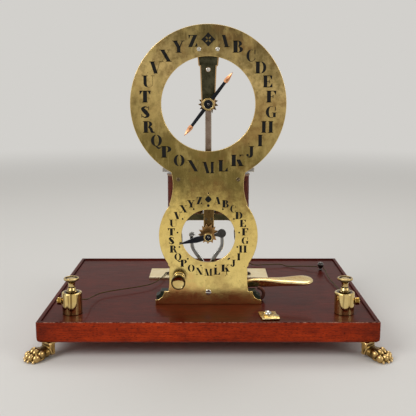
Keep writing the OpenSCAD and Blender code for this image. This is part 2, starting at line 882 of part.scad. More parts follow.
// rear pivot of the rocker: an upright on a sole screwed to the board
module rocker_cock() {
    up_w = 12;
    sole = [36, rest_t + 9];
    color("#8a6f33")
        difference() {
            union() {
                upright(rest_y, rest_t) {
                    polygon([[-up_w / 2, deck], [up_w / 2, deck], [hub_r, pivot_z], [-hub_r, pivot_z]]);
                    translate([0, pivot_z])
                        circle(hub_r);
                }
                translate([-sole[0] / 2, rest_y, deck])
                    cube([sole[0], sole[1], sole_t]);
            }
            shaft(0, pivot_z, rest_y - 1, rest_y + rest_t + 1, rocker_r + fit);
            for (i = [0, 1])
                translate([deck_screw_at[i][0], deck_screw_at[i][1], deck - 1])
                    cylinder(r = plate_screw[2] + fit, h = sole_t + 2);
        }
}

module deck_screws() {
    color("#c9c4b8")
        for (i = [0:2])
            translate([deck_screw_at[i][0], deck_screw_at[i][1], deck + (i < 2 ? sole_t : leaf_t)])
                rotate(35 * i)
                    screw(plate_screw, (i < 2 ? sole_t : leaf_t) + deck_screw_l - 0.3);
}

// pale brass bed plate with bevelled ends, holding the rear stays
module bed_plate() {
    color("#d8c79a")
        difference() {
            translate([-bed_w / 2, bed_back, deck])
                cube([bed_w, bed_d, bed_t]);
            for (s = [-1, 1]) {
                translate([s * bed_screw_x, bed_screw_y, deck - 1])
                    cylinder(r = bed_screw[2] + fit, h = bed_t + 2);
                translate([s * stay_x, stay_foot_y, deck - 1])
                    cylinder(r = tenon_r + fit, h = bed_t + 2);
            }
        }
}

module bed_screws() {
    color("#33291d")
        for (s = [-1, 1])
            translate([s * bed_screw_x, bed_screw_y, bed_top])
                difference() {
                    union() {
                        dome(bed_screw[0], bed_screw[1]);
                        translate([0, 0, -bed_t - bed_screw_l + 0.3])
                            cylinder(r = bed_screw[2], h = bed_t + bed_screw_l);
                    }
                    rotate(s * 30)
                        translate([-5, -0.4, bed_screw[1] - 1])
                            cube([10, 0.8, 2]);
                }
}

// two raking stays from the bed plate to the rear of the shelf, tenoned at both ends
stay_x = 40;
stay_w = 8;
tenon_r = 1.8;
stay_y = coil_y + coil_r - 5;
stay_foot_y = bed_back + 8;
module rear_stays() {
    pad = 9;
    pad_t = 3;
    thick = 4;
    color("#8a6f33")
        for (s = [-1, 1])
            translate([s * stay_x, 0, 0]) {
                across(stay_w) {
                    polygon([[stay_foot_y - pad / 2, bed_top], [stay_foot_y + pad / 2, bed_top],
                        [stay_foot_y + pad / 2, bed_top + pad_t],
                        [stay_foot_y - pad / 2 + thick, bed_top + pad_t],
                        [stay_y + pad / 2, shelf_z - pad_t], [stay_y + pad / 2, shelf_z],
                        [stay_y - pad / 2, shelf_z], [stay_y - pad / 2, shelf_z - pad_t],
                        [stay_y + pad / 2 - thick, shelf_z - pad_t],
                        [stay_foot_y - pad / 2, bed_top + pad_t]]);
                }
                translate([0, stay_foot_y, deck + 0.2])
                    cylinder(r = tenon_r, h = bed_t + 0.5);
                translate([0, stay_y, shelf_z - 0.5])
                    cylinder(r = tenon_r, h = shelf_t + 0.5);
            }
}

// curved brass leaf under the lever's root
leaf_t = 0.8;
module lever_spring() {
    leaf_r = (root_z - gap - deck - leaf_t) / 2;
    leaf_x = spring_foot[0] + 9;
    mid_z = deck + leaf_r + leaf_t / 2;
    color("#c79a3e")
        difference() {
            upright(lever_y, lever_t) {
                translate([spring_foot[0], deck])
                    square([leaf_x - spring_foot[0], leaf_t]);
                difference() {
                    translate([leaf_x, mid_z])
                        circle(leaf_r + leaf_t / 2);
                    translate([leaf_x, mid_z])
                        circle(leaf_r - leaf_t / 2);
                    translate([leaf_x - 3 * leaf_r, mid_z - 3 * leaf_r])
                        square([3 * leaf_r, 6 * leaf_r]);
                }
            }
            translate([deck_screw_at[2][0], deck_screw_at[2][1], deck - 1])
                cylinder(r = plate_screw[2] + fit, h = leaf_t + 2);
        }
}

// turned bush that guides the reset button through the plate
button_shank_r = 3;
button_head_t = 7;
button_neck = 2;
bush_head = button_l - button_head_t - button_neck - button_travel - 2;
module button_bush() {
    color("#b08d3c")
        translate([-button_x, front_y, deck + button_h])
            rotate([90, 0, 0])
                difference() {
                    union() {
                        cylinder(r = 6.6, h = 1.5);
                        cylinder(r = 5.4, h = bush_head);
                    }
                    translate([0, 0, -1])
                        cylinder(r = button_shank_r + fit, h = bush_head + 2);
                }
}

// push button: turned head, shank through the plate and a stop collar behind it
module reset_button() {
    stop_t = 1.6;
    neck_r = 4.6;
    round_r = 1.2;
    color("#d3ab52")
        translate([-button_x, front_y - button_l, deck + button_h])
            rotate([-90, 0, 0])
                rotate_extrude() {
                    translate([0, round_r])
                        square([button_r, button_head_t - 2 * round_r]);
                    square([button_r - round_r, button_head_t]);
                    for (z = [round_r, button_head_t - round_r])
                        translate([button_r - round_r, z])
                            circle(round_r);
                    square([neck_r, button_head_t + button_neck]);
                    square([button_shank_r, button_l + plate_t + gap + stop_t]);
                    translate([0, button_l + plate_t + gap])
                        square([neck_r, stop_t]);
                }
}

// brass binding post: turned body with a rounded shoulder, a stud into the board and two screw holes
thumb_shank_r = 2.5;
thumb_shank_l = 11;
clamp_r = 1.6;
clamp_l = 6;
collar_r = 6.15;
module post(s) {
    shoulder_r = 3;
    color("#cfae5e")
        translate([s * post_x, -post_ahead, 0])
            difference() {
                translate([0, 0, deck])
                    union() {
                        rotate_extrude() {
                            square([post_r, 1.6]);
                            translate([0, 1.6])
                                square([post_r - 0.5, 1]);
                            translate([0, 2.6])
                                square([post_r, post_h - shoulder_r - 2.6]);
                            square([post_r - shoulder_r, post_h]);
                            translate([post_r - shoulder_r, post_h - shoulder_r])
                                circle(shoulder_r);
                        }
                        translate([0, 0, -stud_l])
                            cylinder(r = stud_r, h = stud_l + 0.1);
                    }
                translate([0, 0, deck + post_h - thumb_shank_l - 0.6])
                    cylinder(r = thumb_shank_r + fit, h = thumb_shank_l + 2);
                translate([0, 0, clamp_z])
                    rotate([0, s * 90, 0])
                        translate([0, 0, post_r - clamp_l - 0.4])
                            cylinder(r = clamp_r + fit, h = clamp_l + 2);
            }
}

module post_left() { post(-1); }
module post_right() { post(1); }

// turned thumbscrew: collar, waisted neck and a trumpet flaring into a flat round head
module thumbscrew(s) {
    collar_h = 2.6;
    neck_r = 3.6;
    neck_h = 4.6;
    flare_h = 8;
    head_h = 3;
    edge = 0.9;
    color("#cfae5e")
        translate([s * post_x, -post_ahead, deck + post_h + 0.1])
            rotate_extrude() {
                polygon([[0, 0], [collar_r, 0], [collar_r, collar_h], [neck_r, collar_h + 1], [neck_r, neck_h],
                    [neck_r + 0.9, neck_h + 1.6], [thumb_r - edge, flare_h + 0.1], [0, flare_h + 0.1]]);
                translate([0, flare_h + edge])
                    square([thumb_r, head_h - 2 * edge]);
                translate([0, flare_h])
                    square([thumb_r - edge, head_h]);
                for (z = [edge, head_h - edge])
                    translate([thumb_r - edge, flare_h + z])
                        circle(edge);
                translate([0, -thumb_shank_l])
                    square([thumb_shank_r, thumb_shank_l + 0.5]);
            }
}

module thumbscrew_left() { thumbscrew(-1); }
module thumbscrew_right() { thumbscrew(1); }

// side clamp screw of a post, with a round slotted head
module clamp_screw(s) {
    color("#b8964a")
        translate([s * post_x, -post_ahead, clamp_z])
            rotate([0, s * 90, 0])
                translate([0, 0, post_r + gap])
                    screw([4, 4.5, clamp_r], clamp_l + gap);
}

module clamp_screw_left() { clamp_screw(-1); }
module clamp_screw_right() { clamp_screw(1); }

// ball-headed steel pin that turns the right-hand wire
ball_r = 4;
module wire_pin() {
    color("#3b3a3c")
        translate([pin_x, pin_y, 0]) {
            translate([0, 0, deck - pin_l + 0.3])
                cylinder(r = 1, h = pin_l + 5);
            translate([0, 0, deck])
                cylinder(r = 2, h = 1.2);
            translate([0, 0, deck + 7])
                sphere(ball_r);
        }
}

// brass turn-button with a raised finger step at its front
catch_t = 2;
module catch_plate() {
    step_l = 9;
    color("#c79a3e")
        translate([catch_pos[0], catch_pos[1], deck + 0.1])
            rotate(catch_a)
                difference() {
                    union() {
                        translate([-catch_w / 2, catch_behind - catch_l, 0])
                            cube([catch_w, catch_l, catch_t]);
                        translate([-catch_w / 2, catch_behind - catch_l, 0])
                            cube([catch_w, step_l, catch_t + 1.2]);
                    }
                    translate([0, 0, -1])
                        cylinder(r = plate_screw[2] + fit, h = catch_t + 2);
                }
}

module catch_screw() {
    color("#c79a3e")
        translate([catch_pos[0], catch_pos[1], deck + catch_t + 0.2])
            difference() {
                union() {
                    dome(4.2, 2.6);
                    translate([0, 0, -catch_t - pin_l])
                        cylinder(r = plate_screw[2], h = catch_t + pin_l + 0.1);
                }
                rotate(20)
                    translate([-6, -0.4, 1.6])
                        cube([12, 0.8, 2]);
            }
}

// silk-covered wires
module wire(route, ref) {
    color("#4d4a26")
        tube(smooth(route, 2), wire_r, 8, ref);
}

module wire_left_post() { wire(left_route, [0, 0, 1]); }
module wire_left_coil() { wire(left_coil_route, [1, 0.2, 0.1]); }
module wire_right_post() { wire(right_route, [0, 0, 1]); }
module wire_right_coil() { wire(right_coil_route, [0.1, 0.3, 1]); }

// upper hand: arbor with a dark head inside a brass collet, pointer, tips and ratchet wheel
up_head_r = 4.65;
up_collet_r = 6.6;
up_collet_y = front_y - 3;
up_collet_l = 4;
hand_t = 1.5;
module arbor(z, y0, y1, head_r, head_l) {
    color("#2a2a2d") {
        shaft(0, z, y0, y0 + head_l, head_r);
        shaft(0, z, y0, y1, arbor_r);
        shaft(0, z, y0 - 0.6, y0 + 0.1, 0.9);
    }
}

// brass ring with a rounded lip round an arbor's head
module collet(z, y, l, r, inner_r) {
    lip = 0.7;
    color("#b8964a")
        translate([0, y, z])
            rotate([-90, 0, 0])
                rotate_extrude()
                    difference() {
                        union() {
                            translate([0, lip])
                                square([r, l - lip]);
                            square([r - lip, l]);
                            translate([r - lip, lip])
                                circle(lip);
                        }
                        translate([-1, -1])
                            square([inner_r + fit + 1, l + 2]);
                    }
}

module upper_arbor() {
    arbor(up_z, up_collet_y + 0.8, up_wheel_y + wheel_t + 1, up_head_r, up_collet_l - 0.8);
}

module upper_collet() {
    collet(up_z, up_collet_y, up_collet_l, up_collet_r, up_head_r);
}

up_hand_y = up_collet_y + up_collet_l;
module upper_pointer() {
    arm_w = 2.7;
    color("#1c1b1e")
        difference() {
            union() {
                upright(up_hand_y, hand_t)
                    translate([0, up_z])
                        rotate(-up_hand_a)
                            square([arm_w, 2 * (up_hand_r - tip_l)], center = true);
                shaft(0, up_z, up_hand_y, up_hand_y + hand_t, up_collet_r - 0.6);
            }
            shaft(0, up_z, up_hand_y - 1, up_hand_y + hand_t + 1, arbor_r + fit);
        }
}

// gilt lance tips butted to the pointer's arms
module pointer_tips() {
    root_w = 3;
    wide = 3.8;
    color("#d59a62")
        upright(up_hand_y, hand_t)
            translate([0, up_z])
                for (s = [0, 180])
                    rotate(s - up_hand_a)
                        translate([0, up_hand_r - tip_l])
                            polygon([[-root_w / 2, 0], [root_w / 2, 0], [wide / 2, tip_l * 0.22],
                                [wide * 0.38, tip_l * 0.6], [0.1, tip_l], [-0.1, tip_l],
                                [-wide * 0.38, tip_l * 0.6], [-wide / 2, tip_l * 0.22]]);
}

module upper_ratchet() {
    color("#5b4a28")
        upright(up_wheel_y, wheel_t)
            ratchet_2d(up_wheel_r, up_z);
}

// lower hand: arbor, collet, leaf-shaped pointer and ratchet wheel
low_head_r = 3.5;
low_collet_r = 5.05;
low_collet_y = front_y - 8;
low_collet_l = 4.5;
low_hand_y = low_collet_y + low_collet_l;
module lower_arbor() {
    arbor(low_z, low_collet_y + 0.8, low_cock_y + cock_t + 5, low_head_r, low_collet_l - 0.8);
}

module lower_collet() {
    collet(low_z, low_collet_y, low_collet_l, low_collet_r, low_head_r);
}

module lower_pointer() {
    n = 12;
    wide = 6.6;
    tail = 1.2;
    leaf = [for (i = [0:n]) let (t = i / n) [low_hand_r * t,
        t < 0.43 ? wide / 2 * (0.72 + 0.28 * sin(90 * t / 0.43))
            : tail / 2 + (wide - tail) / 2 * pow((1 - t) / 0.57, 1.35)]];
    color("#2b2728")
        difference() {
            union() {
                upright(low_hand_y, hand_t)
                    translate([0, low_z])
                        rotate(90 - low_hand_a)
                            polygon(concat(leaf, [for (i = [n:-1:0]) [leaf[i][0], -leaf[i][1]]]));
                shaft(0, low_z, low_hand_y, low_hand_y + hand_t, low_collet_r - 0.5);
            }
            shaft(0, low_z, low_hand_y - 1, low_hand_y + hand_t + 1, arbor_r + fit);
        }
}

module lower_ratchet() {
    color("#94683a")
        upright(low_wheel_y, wheel_t)
            ratchet_2d(low_wheel_r, low_z);
}

// brass hand lever: hub, bent bar on edge, and a bar flaring into a flat rounded paddle
root_z = deck + 15.2;
root_h = 8.4;
module lever_section(x, w, h, z) {
    translate([x, lever_y + lever_t / 2 - w / 2, z])
        cube([0.1, w, h]);
}

module hand_lever() {
    bend_x = 30;
    straight_x = foot_w / 2 + 3;
    paddle_r = paddle_w / 2;
    paddle_x = lever_x - paddle_r;
    paddle_z = root_z + 4;
    paddle_t = 5;
    color("#c9a24a")
        difference() {
            union() {
                shaft(0, pivot_z, lever_y, lever_y + lever_t, hub_r + 1.5);
                upright(lever_y, lever_t)
                    polygon([[-1, pivot_z - hub_r - 1], [bend_x, root_z], [straight_x, root_z],
                        [straight_x, root_z + root_h], [bend_x + 4, root_z + root_h], [3, pivot_z + hub_r]]);
                hull() {
                    lever_section(straight_x - 0.1, lever_t, root_h, root_z);
                    lever_section(straight_x + 17, paddle_w * 0.5, 6, root_z + 2.6);
                }
                hull() {
                    lever_section(straight_x + 17, paddle_w * 0.5, 6, root_z + 2.6);
                    translate([paddle_x, lever_y + lever_t / 2, paddle_z + 0.8])
                        cylinder(r = paddle_r, h = paddle_t - 1.6, $fn = 48);
                    translate([paddle_x, lever_y + lever_t / 2, paddle_z])
                        cylinder(r = paddle_r - 1.2, h = paddle_t, $fn = 48);
                }
            }
            shaft(0, pivot_z, lever_y - 1, lever_y + lever_t + 1, rocker_r + fit);
        }
}

module rocker_arbor() {
    color("#6f7073")
        shaft(0, pivot_z, back_y + 0.2, rest_y + rest_t - 0.1, rocker_r);
}

// steel anchor: two bowed arms from the rocker's hub to the pallets on either side of the wheel
module anchor() {
    arm_w = 3.6;
    boss_r = 2.8;
    color("#7c7a78")
        difference() {
            union() {
                shaft(0, pivot_z, anchor_y, anchor_y + anchor_t, hub_r + 0.5);
                shaft(pallet[0], pallet[1], anchor_y, anchor_y + anchor_t, boss_r);
                shaft(hook[0], hook[1], anchor_y, anchor_y + anchor_t, boss_r);
                upright(anchor_y, anchor_t)
                    strip([[1.5, pivot_z], [6, low_z - 26], [14.5, low_z - 12.7], pallet], 5, arm_w);
                upright(anchor_y, anchor_t)
                    strip([[-1.5, pivot_z], [-8, low_z - 28], [-17, low_z - 14.2], hook], 5, arm_w);
                upright(anchor_y, anchor_t)
                    strip([hook, hook + [1.6, 1.5], hook + [3, 0.6], hook + [4.2, -0.8]], arm_w * 0.8, 1);
            }
            shaft(0, pivot_z, anchor_y - 1, anchor_y + anchor_t + 1, rocker_r + fit);
            shaft(pallet[0], pallet[1], anchor_y - 1, anchor_y + anchor_t + 1, stem_pin_r + fit);
            shaft(-left_pin, low_z, anchor_y - 1, anchor_y + anchor_t + 1, pin_r + fit);
        }
}

// pallets: a disc with a nose in front of the wheel, and the driving pins in the wheel's plane
stem_pin_r = 1.6;
module anchor_pallets() {
    disc_t = 0.9;
    disc_y = anchor_y - disc_t;
    link_y = anchor_y + anchor_t;
    link_t = 0.8;
    link_r = 2.4;
    color("#5d5b5a") {
        shaft(pallet[0], pallet[1], disc_y, anchor_y, pallet_r);
        upright(disc_y, disc_t)
            polygon([pallet + [-3, 3], pallet + [-8.4, -1], pallet + [-8, -2.8], pallet + [-2, -4.2]]);
        shaft(pallet[0], pallet[1], disc_y, link_y + link_t, stem_pin_r);
        shaft(pallet[0], pallet[1], link_y, link_y + link_t, link_r);
        upright(link_y, link_t)
            polygon([[right_pin - pin_r, low_z - pin_r], [right_pin + pin_r, low_z - pin_r],
                pallet + [link_r - 0.2, 0], pallet + [-link_r + 0.2, 0]]);
        shaft(right_pin, low_z, link_y, low_wheel_y + wheel_t, pin_r);
        shaft(-left_pin, low_z, anchor_y, low_wheel_y + wheel_t, pin_r);
    }
}

// soft-iron armature bar over the cores
module armature_bar() {
    bar_d = stem_y + stem_t;
    color("#8f8e8b")
        difference() {
            translate([-bar_w / 2, bar_d, bar_z])
                cube([bar_w, 2 * (coil_y - bar_d), bar_h]);
            translate([0, coil_y, bar_z - 1])
                cylinder(r = guide_r + 0.1, h = bar_h + 2);
        }
}

// steel stem from the bar up to the keeper, slotted where the arbor passes
module armature_stem() {
    slot_w = 2 * (arbor_r + gap);
    color("#8b8a86")
        upright(stem_y, stem_t)
            difference() {
                translate([-stem_w / 2, bar_z])
                    square([stem_w, guide_z + 4 - bar_z]);
                translate([-slot_w / 2, up_z - arbor_r - gap])
                    square([slot_w, 2 * (arbor_r + gap) + arm_travel]);
                translate([0, up_z + arbor_r + arm_travel + gap - slot_w / 2])
                    circle(slot_w / 2);
            }
}

// wedge pallets on the stem, one above and one below the ratchet wheel
module stem_pallets() {
    half = 2.4;
    deep = 7;
    above = up_z + up_wheel_r + gap + arm_travel;
    below = up_z - up_wheel_r - gap;
    color("#5d5b5a")
        upright(stem_y + stem_t, wheel_t + 0.5) {
            polygon([[-half, above], [half, above + 2], [half, above + deep], [-half, above + deep]]);
            polygon([[half, below], [-half, below - 2], [-half, below - deep], [half, below - deep]]);
        }
}

base_board();
paw_front_left();
paw_front_right();
paw_back_left();
paw_back_right();
wood_screws();
face_plate();
plate_screws();
foot_block();
upper_cock();
stem_guide();
cock_screws();
magnet_bracket();
yoke();
magnet_cores();
magnet_screws();
bobbin_left();
bobbin_right();
winding_left();
winding_right();
armature_guide();
armature_spring();
lower_cock();
rocker_cock();
deck_screws();
bed_plate();
bed_screws();
rear_stays();
lever_spring();
button_bush();
post_left();
post_right();
wire_pin();
catch_screw();
wire_left_post();
wire_left_coil();
wire_right_post();
wire_right_coil();
upper_arbor();
upper_collet();
upper_pointer();
pointer_tips();
upper_ratchet();
lower_arbor();
lower_collet();
lower_pointer();
lower_ratchet();
hand_lever();
rocker_arbor();
anchor();
anchor_pallets();
armature_bar();
armature_stem();
stem_pallets();
reset_button();
thumbscrew_left();
thumbscrew_right();
clamp_screw_left();
clamp_screw_right();
catch_plate();
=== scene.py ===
import json
import math

import bmesh
import bpy
import numpy as np
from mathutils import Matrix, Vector

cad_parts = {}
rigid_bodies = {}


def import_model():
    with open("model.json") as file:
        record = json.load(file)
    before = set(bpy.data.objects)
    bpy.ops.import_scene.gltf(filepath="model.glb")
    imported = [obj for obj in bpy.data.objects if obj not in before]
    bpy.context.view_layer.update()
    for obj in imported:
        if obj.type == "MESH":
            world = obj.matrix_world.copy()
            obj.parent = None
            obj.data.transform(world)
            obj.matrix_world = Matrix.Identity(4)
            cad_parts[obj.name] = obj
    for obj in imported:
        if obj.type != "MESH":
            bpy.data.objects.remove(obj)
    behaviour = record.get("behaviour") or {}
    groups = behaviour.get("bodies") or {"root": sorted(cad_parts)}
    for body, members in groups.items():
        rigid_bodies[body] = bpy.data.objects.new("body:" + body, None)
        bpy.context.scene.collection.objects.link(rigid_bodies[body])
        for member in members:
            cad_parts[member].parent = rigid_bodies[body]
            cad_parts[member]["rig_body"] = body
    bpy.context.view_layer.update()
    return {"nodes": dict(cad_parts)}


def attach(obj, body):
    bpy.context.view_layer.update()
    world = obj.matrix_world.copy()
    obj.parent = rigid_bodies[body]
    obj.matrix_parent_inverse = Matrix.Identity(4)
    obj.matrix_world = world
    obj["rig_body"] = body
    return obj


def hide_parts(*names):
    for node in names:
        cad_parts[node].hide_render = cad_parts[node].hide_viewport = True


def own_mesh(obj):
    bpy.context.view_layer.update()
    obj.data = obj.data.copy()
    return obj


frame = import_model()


# Studio: a pale floor that fades into a plain pale surround, one large soft box at the left front, a
# weaker one at the right and one overhead. The camera stands where the photograph was taken.
def linear(code):
    """An sRGB hex colour as linear light: c / 12.92 up to 0.04045, else ((c + 0.055) / 1.055) ** 2.4."""
    c = np.array([int(code[i:i + 2], 16) for i in (1, 3, 5)]) / 255
    light = np.where(c <= 0.04045, c / 12.92, ((c + 0.055) / 1.055) ** 2.4)
    return tuple(light.tolist()) + (1.0,)


def put(tree, kind, inputs=None, out=0, **settings):
    """Adds one shader node with its own settings and gives back one of its outputs. Inputs are values, or
    the outputs that feed them."""
    made = tree.nodes.new("ShaderNode" + kind)
    for key, value in settings.items():
        setattr(made, key, value)
    for key, value in (inputs or {}).items():
        if isinstance(value, bpy.types.NodeSocket):
            tree.links.new(value, made.inputs[key])
        else:
            made.inputs[key].default_value = value
    return made.outputs[out]


def feed(shader, key, value):
    """Links an output to one of a shader's inputs."""
    shader.id_data.links.new(value, shader.inputs[key])


def finish(name, constants):
    """A new material, its node tree, its main shader, which gets the values that hold all over, and the
    place of each point in the object's own coordinates."""
    made = bpy.data.materials.new(name)
    made.use_nodes = True
    shader = made.node_tree.nodes["Principled BSDF"]
    for key, value in constants.items():
        shader.inputs[key].default_value = value
    return made, made.node_tree, shader, put(made.node_tree, "TexCoord", out="Object")


def patch(points, ring=False, span=(1, 1), down=None):
    """A grid of points (rows, columns, 3) in mm as vertices, quads and corner UVs. A ring joins its last
    column to its first. UVs run over span, or down the rows as the given values say."""
    rows, cols = points.shape[:2]
    i, j = np.meshgrid(np.arange(rows - 1), np.arange(cols - (not ring)), indexing="ij")
    a, b = i[..., None] + [0, 0, 1, 1], j[..., None] + [0, 1, 1, 0]
    v = np.arange(rows) / (rows - 1) * span[1] if down is None else np.asarray(down)
    uv = np.stack([b / (cols - (not ring)) * span[0], v[a]], -1)
    return points.reshape(-1, 3), (a * cols + b % cols).reshape(-1, 4), uv.reshape(-1, 2)


def mesh_of(name, patches, finishes, facing=None, marks=None):
    """Joins patches into one mesh in metres. Open patches turn towards facing, and closed ones outwards.
    marks gives each patch a number that its material can read."""
    start = np.cumsum([0] + [len(p[0]) for p in patches])
    points = np.concatenate([p[0] for p in patches]) * 1e-3
    quads = np.concatenate([p[1] + s for p, s in zip(patches, start)])
    uv = np.concatenate([p[2] for p in patches]).reshape(-1, 4, 2)
    if facing is not None:
        corner = points[quads]
        away = np.cross(corner[:, 2] - corner[:, 0], corner[:, 3] - corner[:, 1]) @ np.array(facing) < 0
        quads[away], uv[away] = quads[away, ::-1], uv[away, ::-1]
    mesh = bpy.data.meshes.new(name)
    mesh.from_pydata(points.tolist(), [], quads.tolist())
    mesh.uv_layers.new(name="lay").data.foreach_set("uv", uv.astype(np.float32).ravel())
    each = finishes if isinstance(finishes, list) else [finishes] * len(patches)
    kinds = list(dict.fromkeys(each))
    for kind in kinds:
        mesh.materials.append(kind)
    sizes = [len(p[1]) for p in patches]
    mesh.polygons.foreach_set("material_index", np.repeat([kinds.index(k) for k in each], sizes))
    mesh.polygons.foreach_set("use_smooth", np.ones(len(quads), bool))
    if marks is not None:
        mesh.attributes.new("mark", "FLOAT", "FACE").data.foreach_set(
            "value", np.repeat(np.array(marks, np.float32), sizes))
    bm = bmesh.new()
    bm.from_mesh(mesh)
    bmesh.ops.remove_doubles(bm, verts=bm.verts, dist=2e-7)
    if facing is None:
        bmesh.ops.recalc_face_normals(bm, faces=bm.faces)
    bm.to_mesh(mesh)
    bm.free()
    return mesh


def place(name, mesh, body=None, stands_for=()):
    """Links a mesh as a piece at the origin, riding a body and standing for CAD nodes."""
    made = bpy.data.objects.new(name, mesh)
    bpy.context.scene.collection.objects.link(made)
    if body:
        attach(made, body)
    if stands_for:
        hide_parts(*stands_for)
    return made


def piece(name, patches, finishes, body=None, stands_for=(), **how):
    """Joins patches into a mesh and places it, both under one name."""
    return place(name, mesh_of(name, patches, finishes, **how), body, stands_for)


scene = bpy.context.scene
scene.view_settings.view_transform = "Standard"
surround = linear("#d2d0cc")
world = bpy.data.worlds.new("pale_surround")
scene.world = world
world.use_nodes = True
tree = world.node_tree
back = tree.nodes["Background"]
back.inputs["Color"].default_value = surround
# full strength where the surround is seen or mirrored, and about half of it as light on the object
ray = put(tree, "LightPath").node.outputs
seen = put(tree, "Math", {0: ray["Is Camera Ray"], 1: ray["Is Glossy Ray"]}, operation="MAXIMUM")
seen = put(tree, "Math", {0: seen, 1: ray["Is Transmission Ray"]}, operation="MAXIMUM")
feed(back, "Strength", put(tree, "MapRange", {"Value": seen, "To Min": 0.55}))

# matt paper: an even pale ground with soft shadows, which melts into the surround from 0.9 to 2.4 m out
paper, tree, shader, at = finish("pale_floor_paper", {"Base Color": linear("#d8d6d2"), "Roughness": 0.8})
far = put(tree, "VectorMath", {0: at}, out="Value", operation="LENGTH")
far = put(tree, "MapRange", {"Value": far, "From Min": 0.9, "From Max": 2.4}, interpolation_type="SMOOTHSTEP")
ray = put(tree, "LightPath").node.outputs
seen = put(tree, "Math", {0: ray["Is Camera Ray"], 1: ray["Is Glossy Ray"]}, operation="MAXIMUM")
fade = put(tree, "Math", {0: far, 1: seen}, operation="MULTIPLY")
glow = put(tree, "Emission", {"Color": surround, "Strength": 1.0})
mixed = put(tree, "MixShader", {0: fade, 1: shader.outputs[0], 2: glow})
feed(tree.nodes["Material Output"], "Surface", mixed)
floor_r = 9000
r, a = np.linspace(0, floor_r, 40), np.linspace(0, 2 * np.pi, 64, endpoint=False)
disc = np.stack([np.outer(r, np.cos(a)), np.outer(r, np.sin(a)), np.zeros((40, 64))], -1)
piece("floor", [patch(disc, ring=True)], paper, facing=(0, 0, 1))

for name, spot, aim, size, power in (("left_box", (-1.25, -1.15, 1.25), (0, 0, 0.15), 1.1, 20),
                                     ("right_box", (1.5, -0.9, 0.9), (0, 0, 0.12), 0.9, 7.5),
                                     ("top_box", (0.1, 0.75, 1.7), (0, -0.05, 0.1), 1.2, 11)):
    lamp = bpy.data.lights.new(name, "AREA")
    lamp.shape, lamp.size, lamp.energy = "SQUARE", size, power
    box = bpy.data.objects.new(name, lamp)
    scene.collection.objects.link(box)
    box.location = spot
    box.rotation_euler = (Vector(aim) - Vector(spot)).to_track_quat("-Z", "Y").to_euler()

picture_px, middle_px = 416, -1.8
lens = bpy.data.cameras.new("camera")
lens.sensor_width, lens.lens = 36, 60.92
lens.shift_x = middle_px / picture_px
lens.clip_start, lens.clip_end = 0.01, 50
camera = bpy.data.objects.new("camera", lens)
scene.collection.objects.link(camera)
camera.location = (0.0016, -0.815, 0.2774)
camera.rotation_euler = (math.radians(80), 0, 0)
scene.camera = camera


# Base board: a mahogany panel in a mitred mahogany frame with a low raised rim and a fine groove inside
# it, French polished to a red gloss. The grain runs along each side of the frame.
def eased_line(points, cuts):
    """A line with its inner corners rounded: each corner p, cut back to a and b, becomes the curve
    (1 - t)^2 a + 2 t (1 - t) p + t^2 b."""
    p, cuts = np.array(points, float), np.broadcast_to(cuts, len(points) - 2)
    step = np.diff(p, axis=0)
    long = np.linalg.norm(step, axis=1)
    unit = step / long[:, None]
    cut = np.minimum(cuts, 0.49 * np.minimum(long[:-1], long[1:]))[:, None]
    a, b, k = p[1:-1] - cut * unit[:-1], p[1:-1] + cut * unit[1:], np.linspace(0, 1, 6)[None, :, None]
    bends = (1 - k) ** 2 * a[:, None] + 2 * k * (1 - k) * p[1:-1, None] + k ** 2 * b[:, None]
    return np.concatenate([p[:1], bends.reshape(-1, 2), p[-1:]])


def reach(line):
    """How far along a line each of its points lies."""
    return np.r_[0, np.cumsum(np.linalg.norm(np.diff(line, axis=0), axis=1))]


def dress(shader, ground, layers, rough=None, bump=None, **settings):
    """Feeds a shader. Over a ground colour lie others, each by its own share. rough is a pattern and the
    roughness at its two ends, and bump is a pattern, a strength and a depth in metres."""
    tree, colour = shader.id_data, linear(ground) if isinstance(ground, str) else ground
    for share, code in layers:
        colour = put(tree, "Mix", {0: share, 6: colour, 7: linear(code)}, out=2, data_type="RGBA")
    feed(shader, "Base Color", colour)
    if rough:
        level = put(tree, "MapRange", {"Value": rough[0], "To Min": rough[1], "To Max": rough[2]})
        feed(shader, "Roughness", level)
    if bump:
        dent = put(tree, "Bump", {"Height": bump[0], "Strength": bump[1], "Distance": bump[2]}, **settings)
        feed(shader, "Normal", dent)


board_w, board_d, board_low, deck, rim_z = 350.0, 266.0, 17.0, 38.0, 39.6


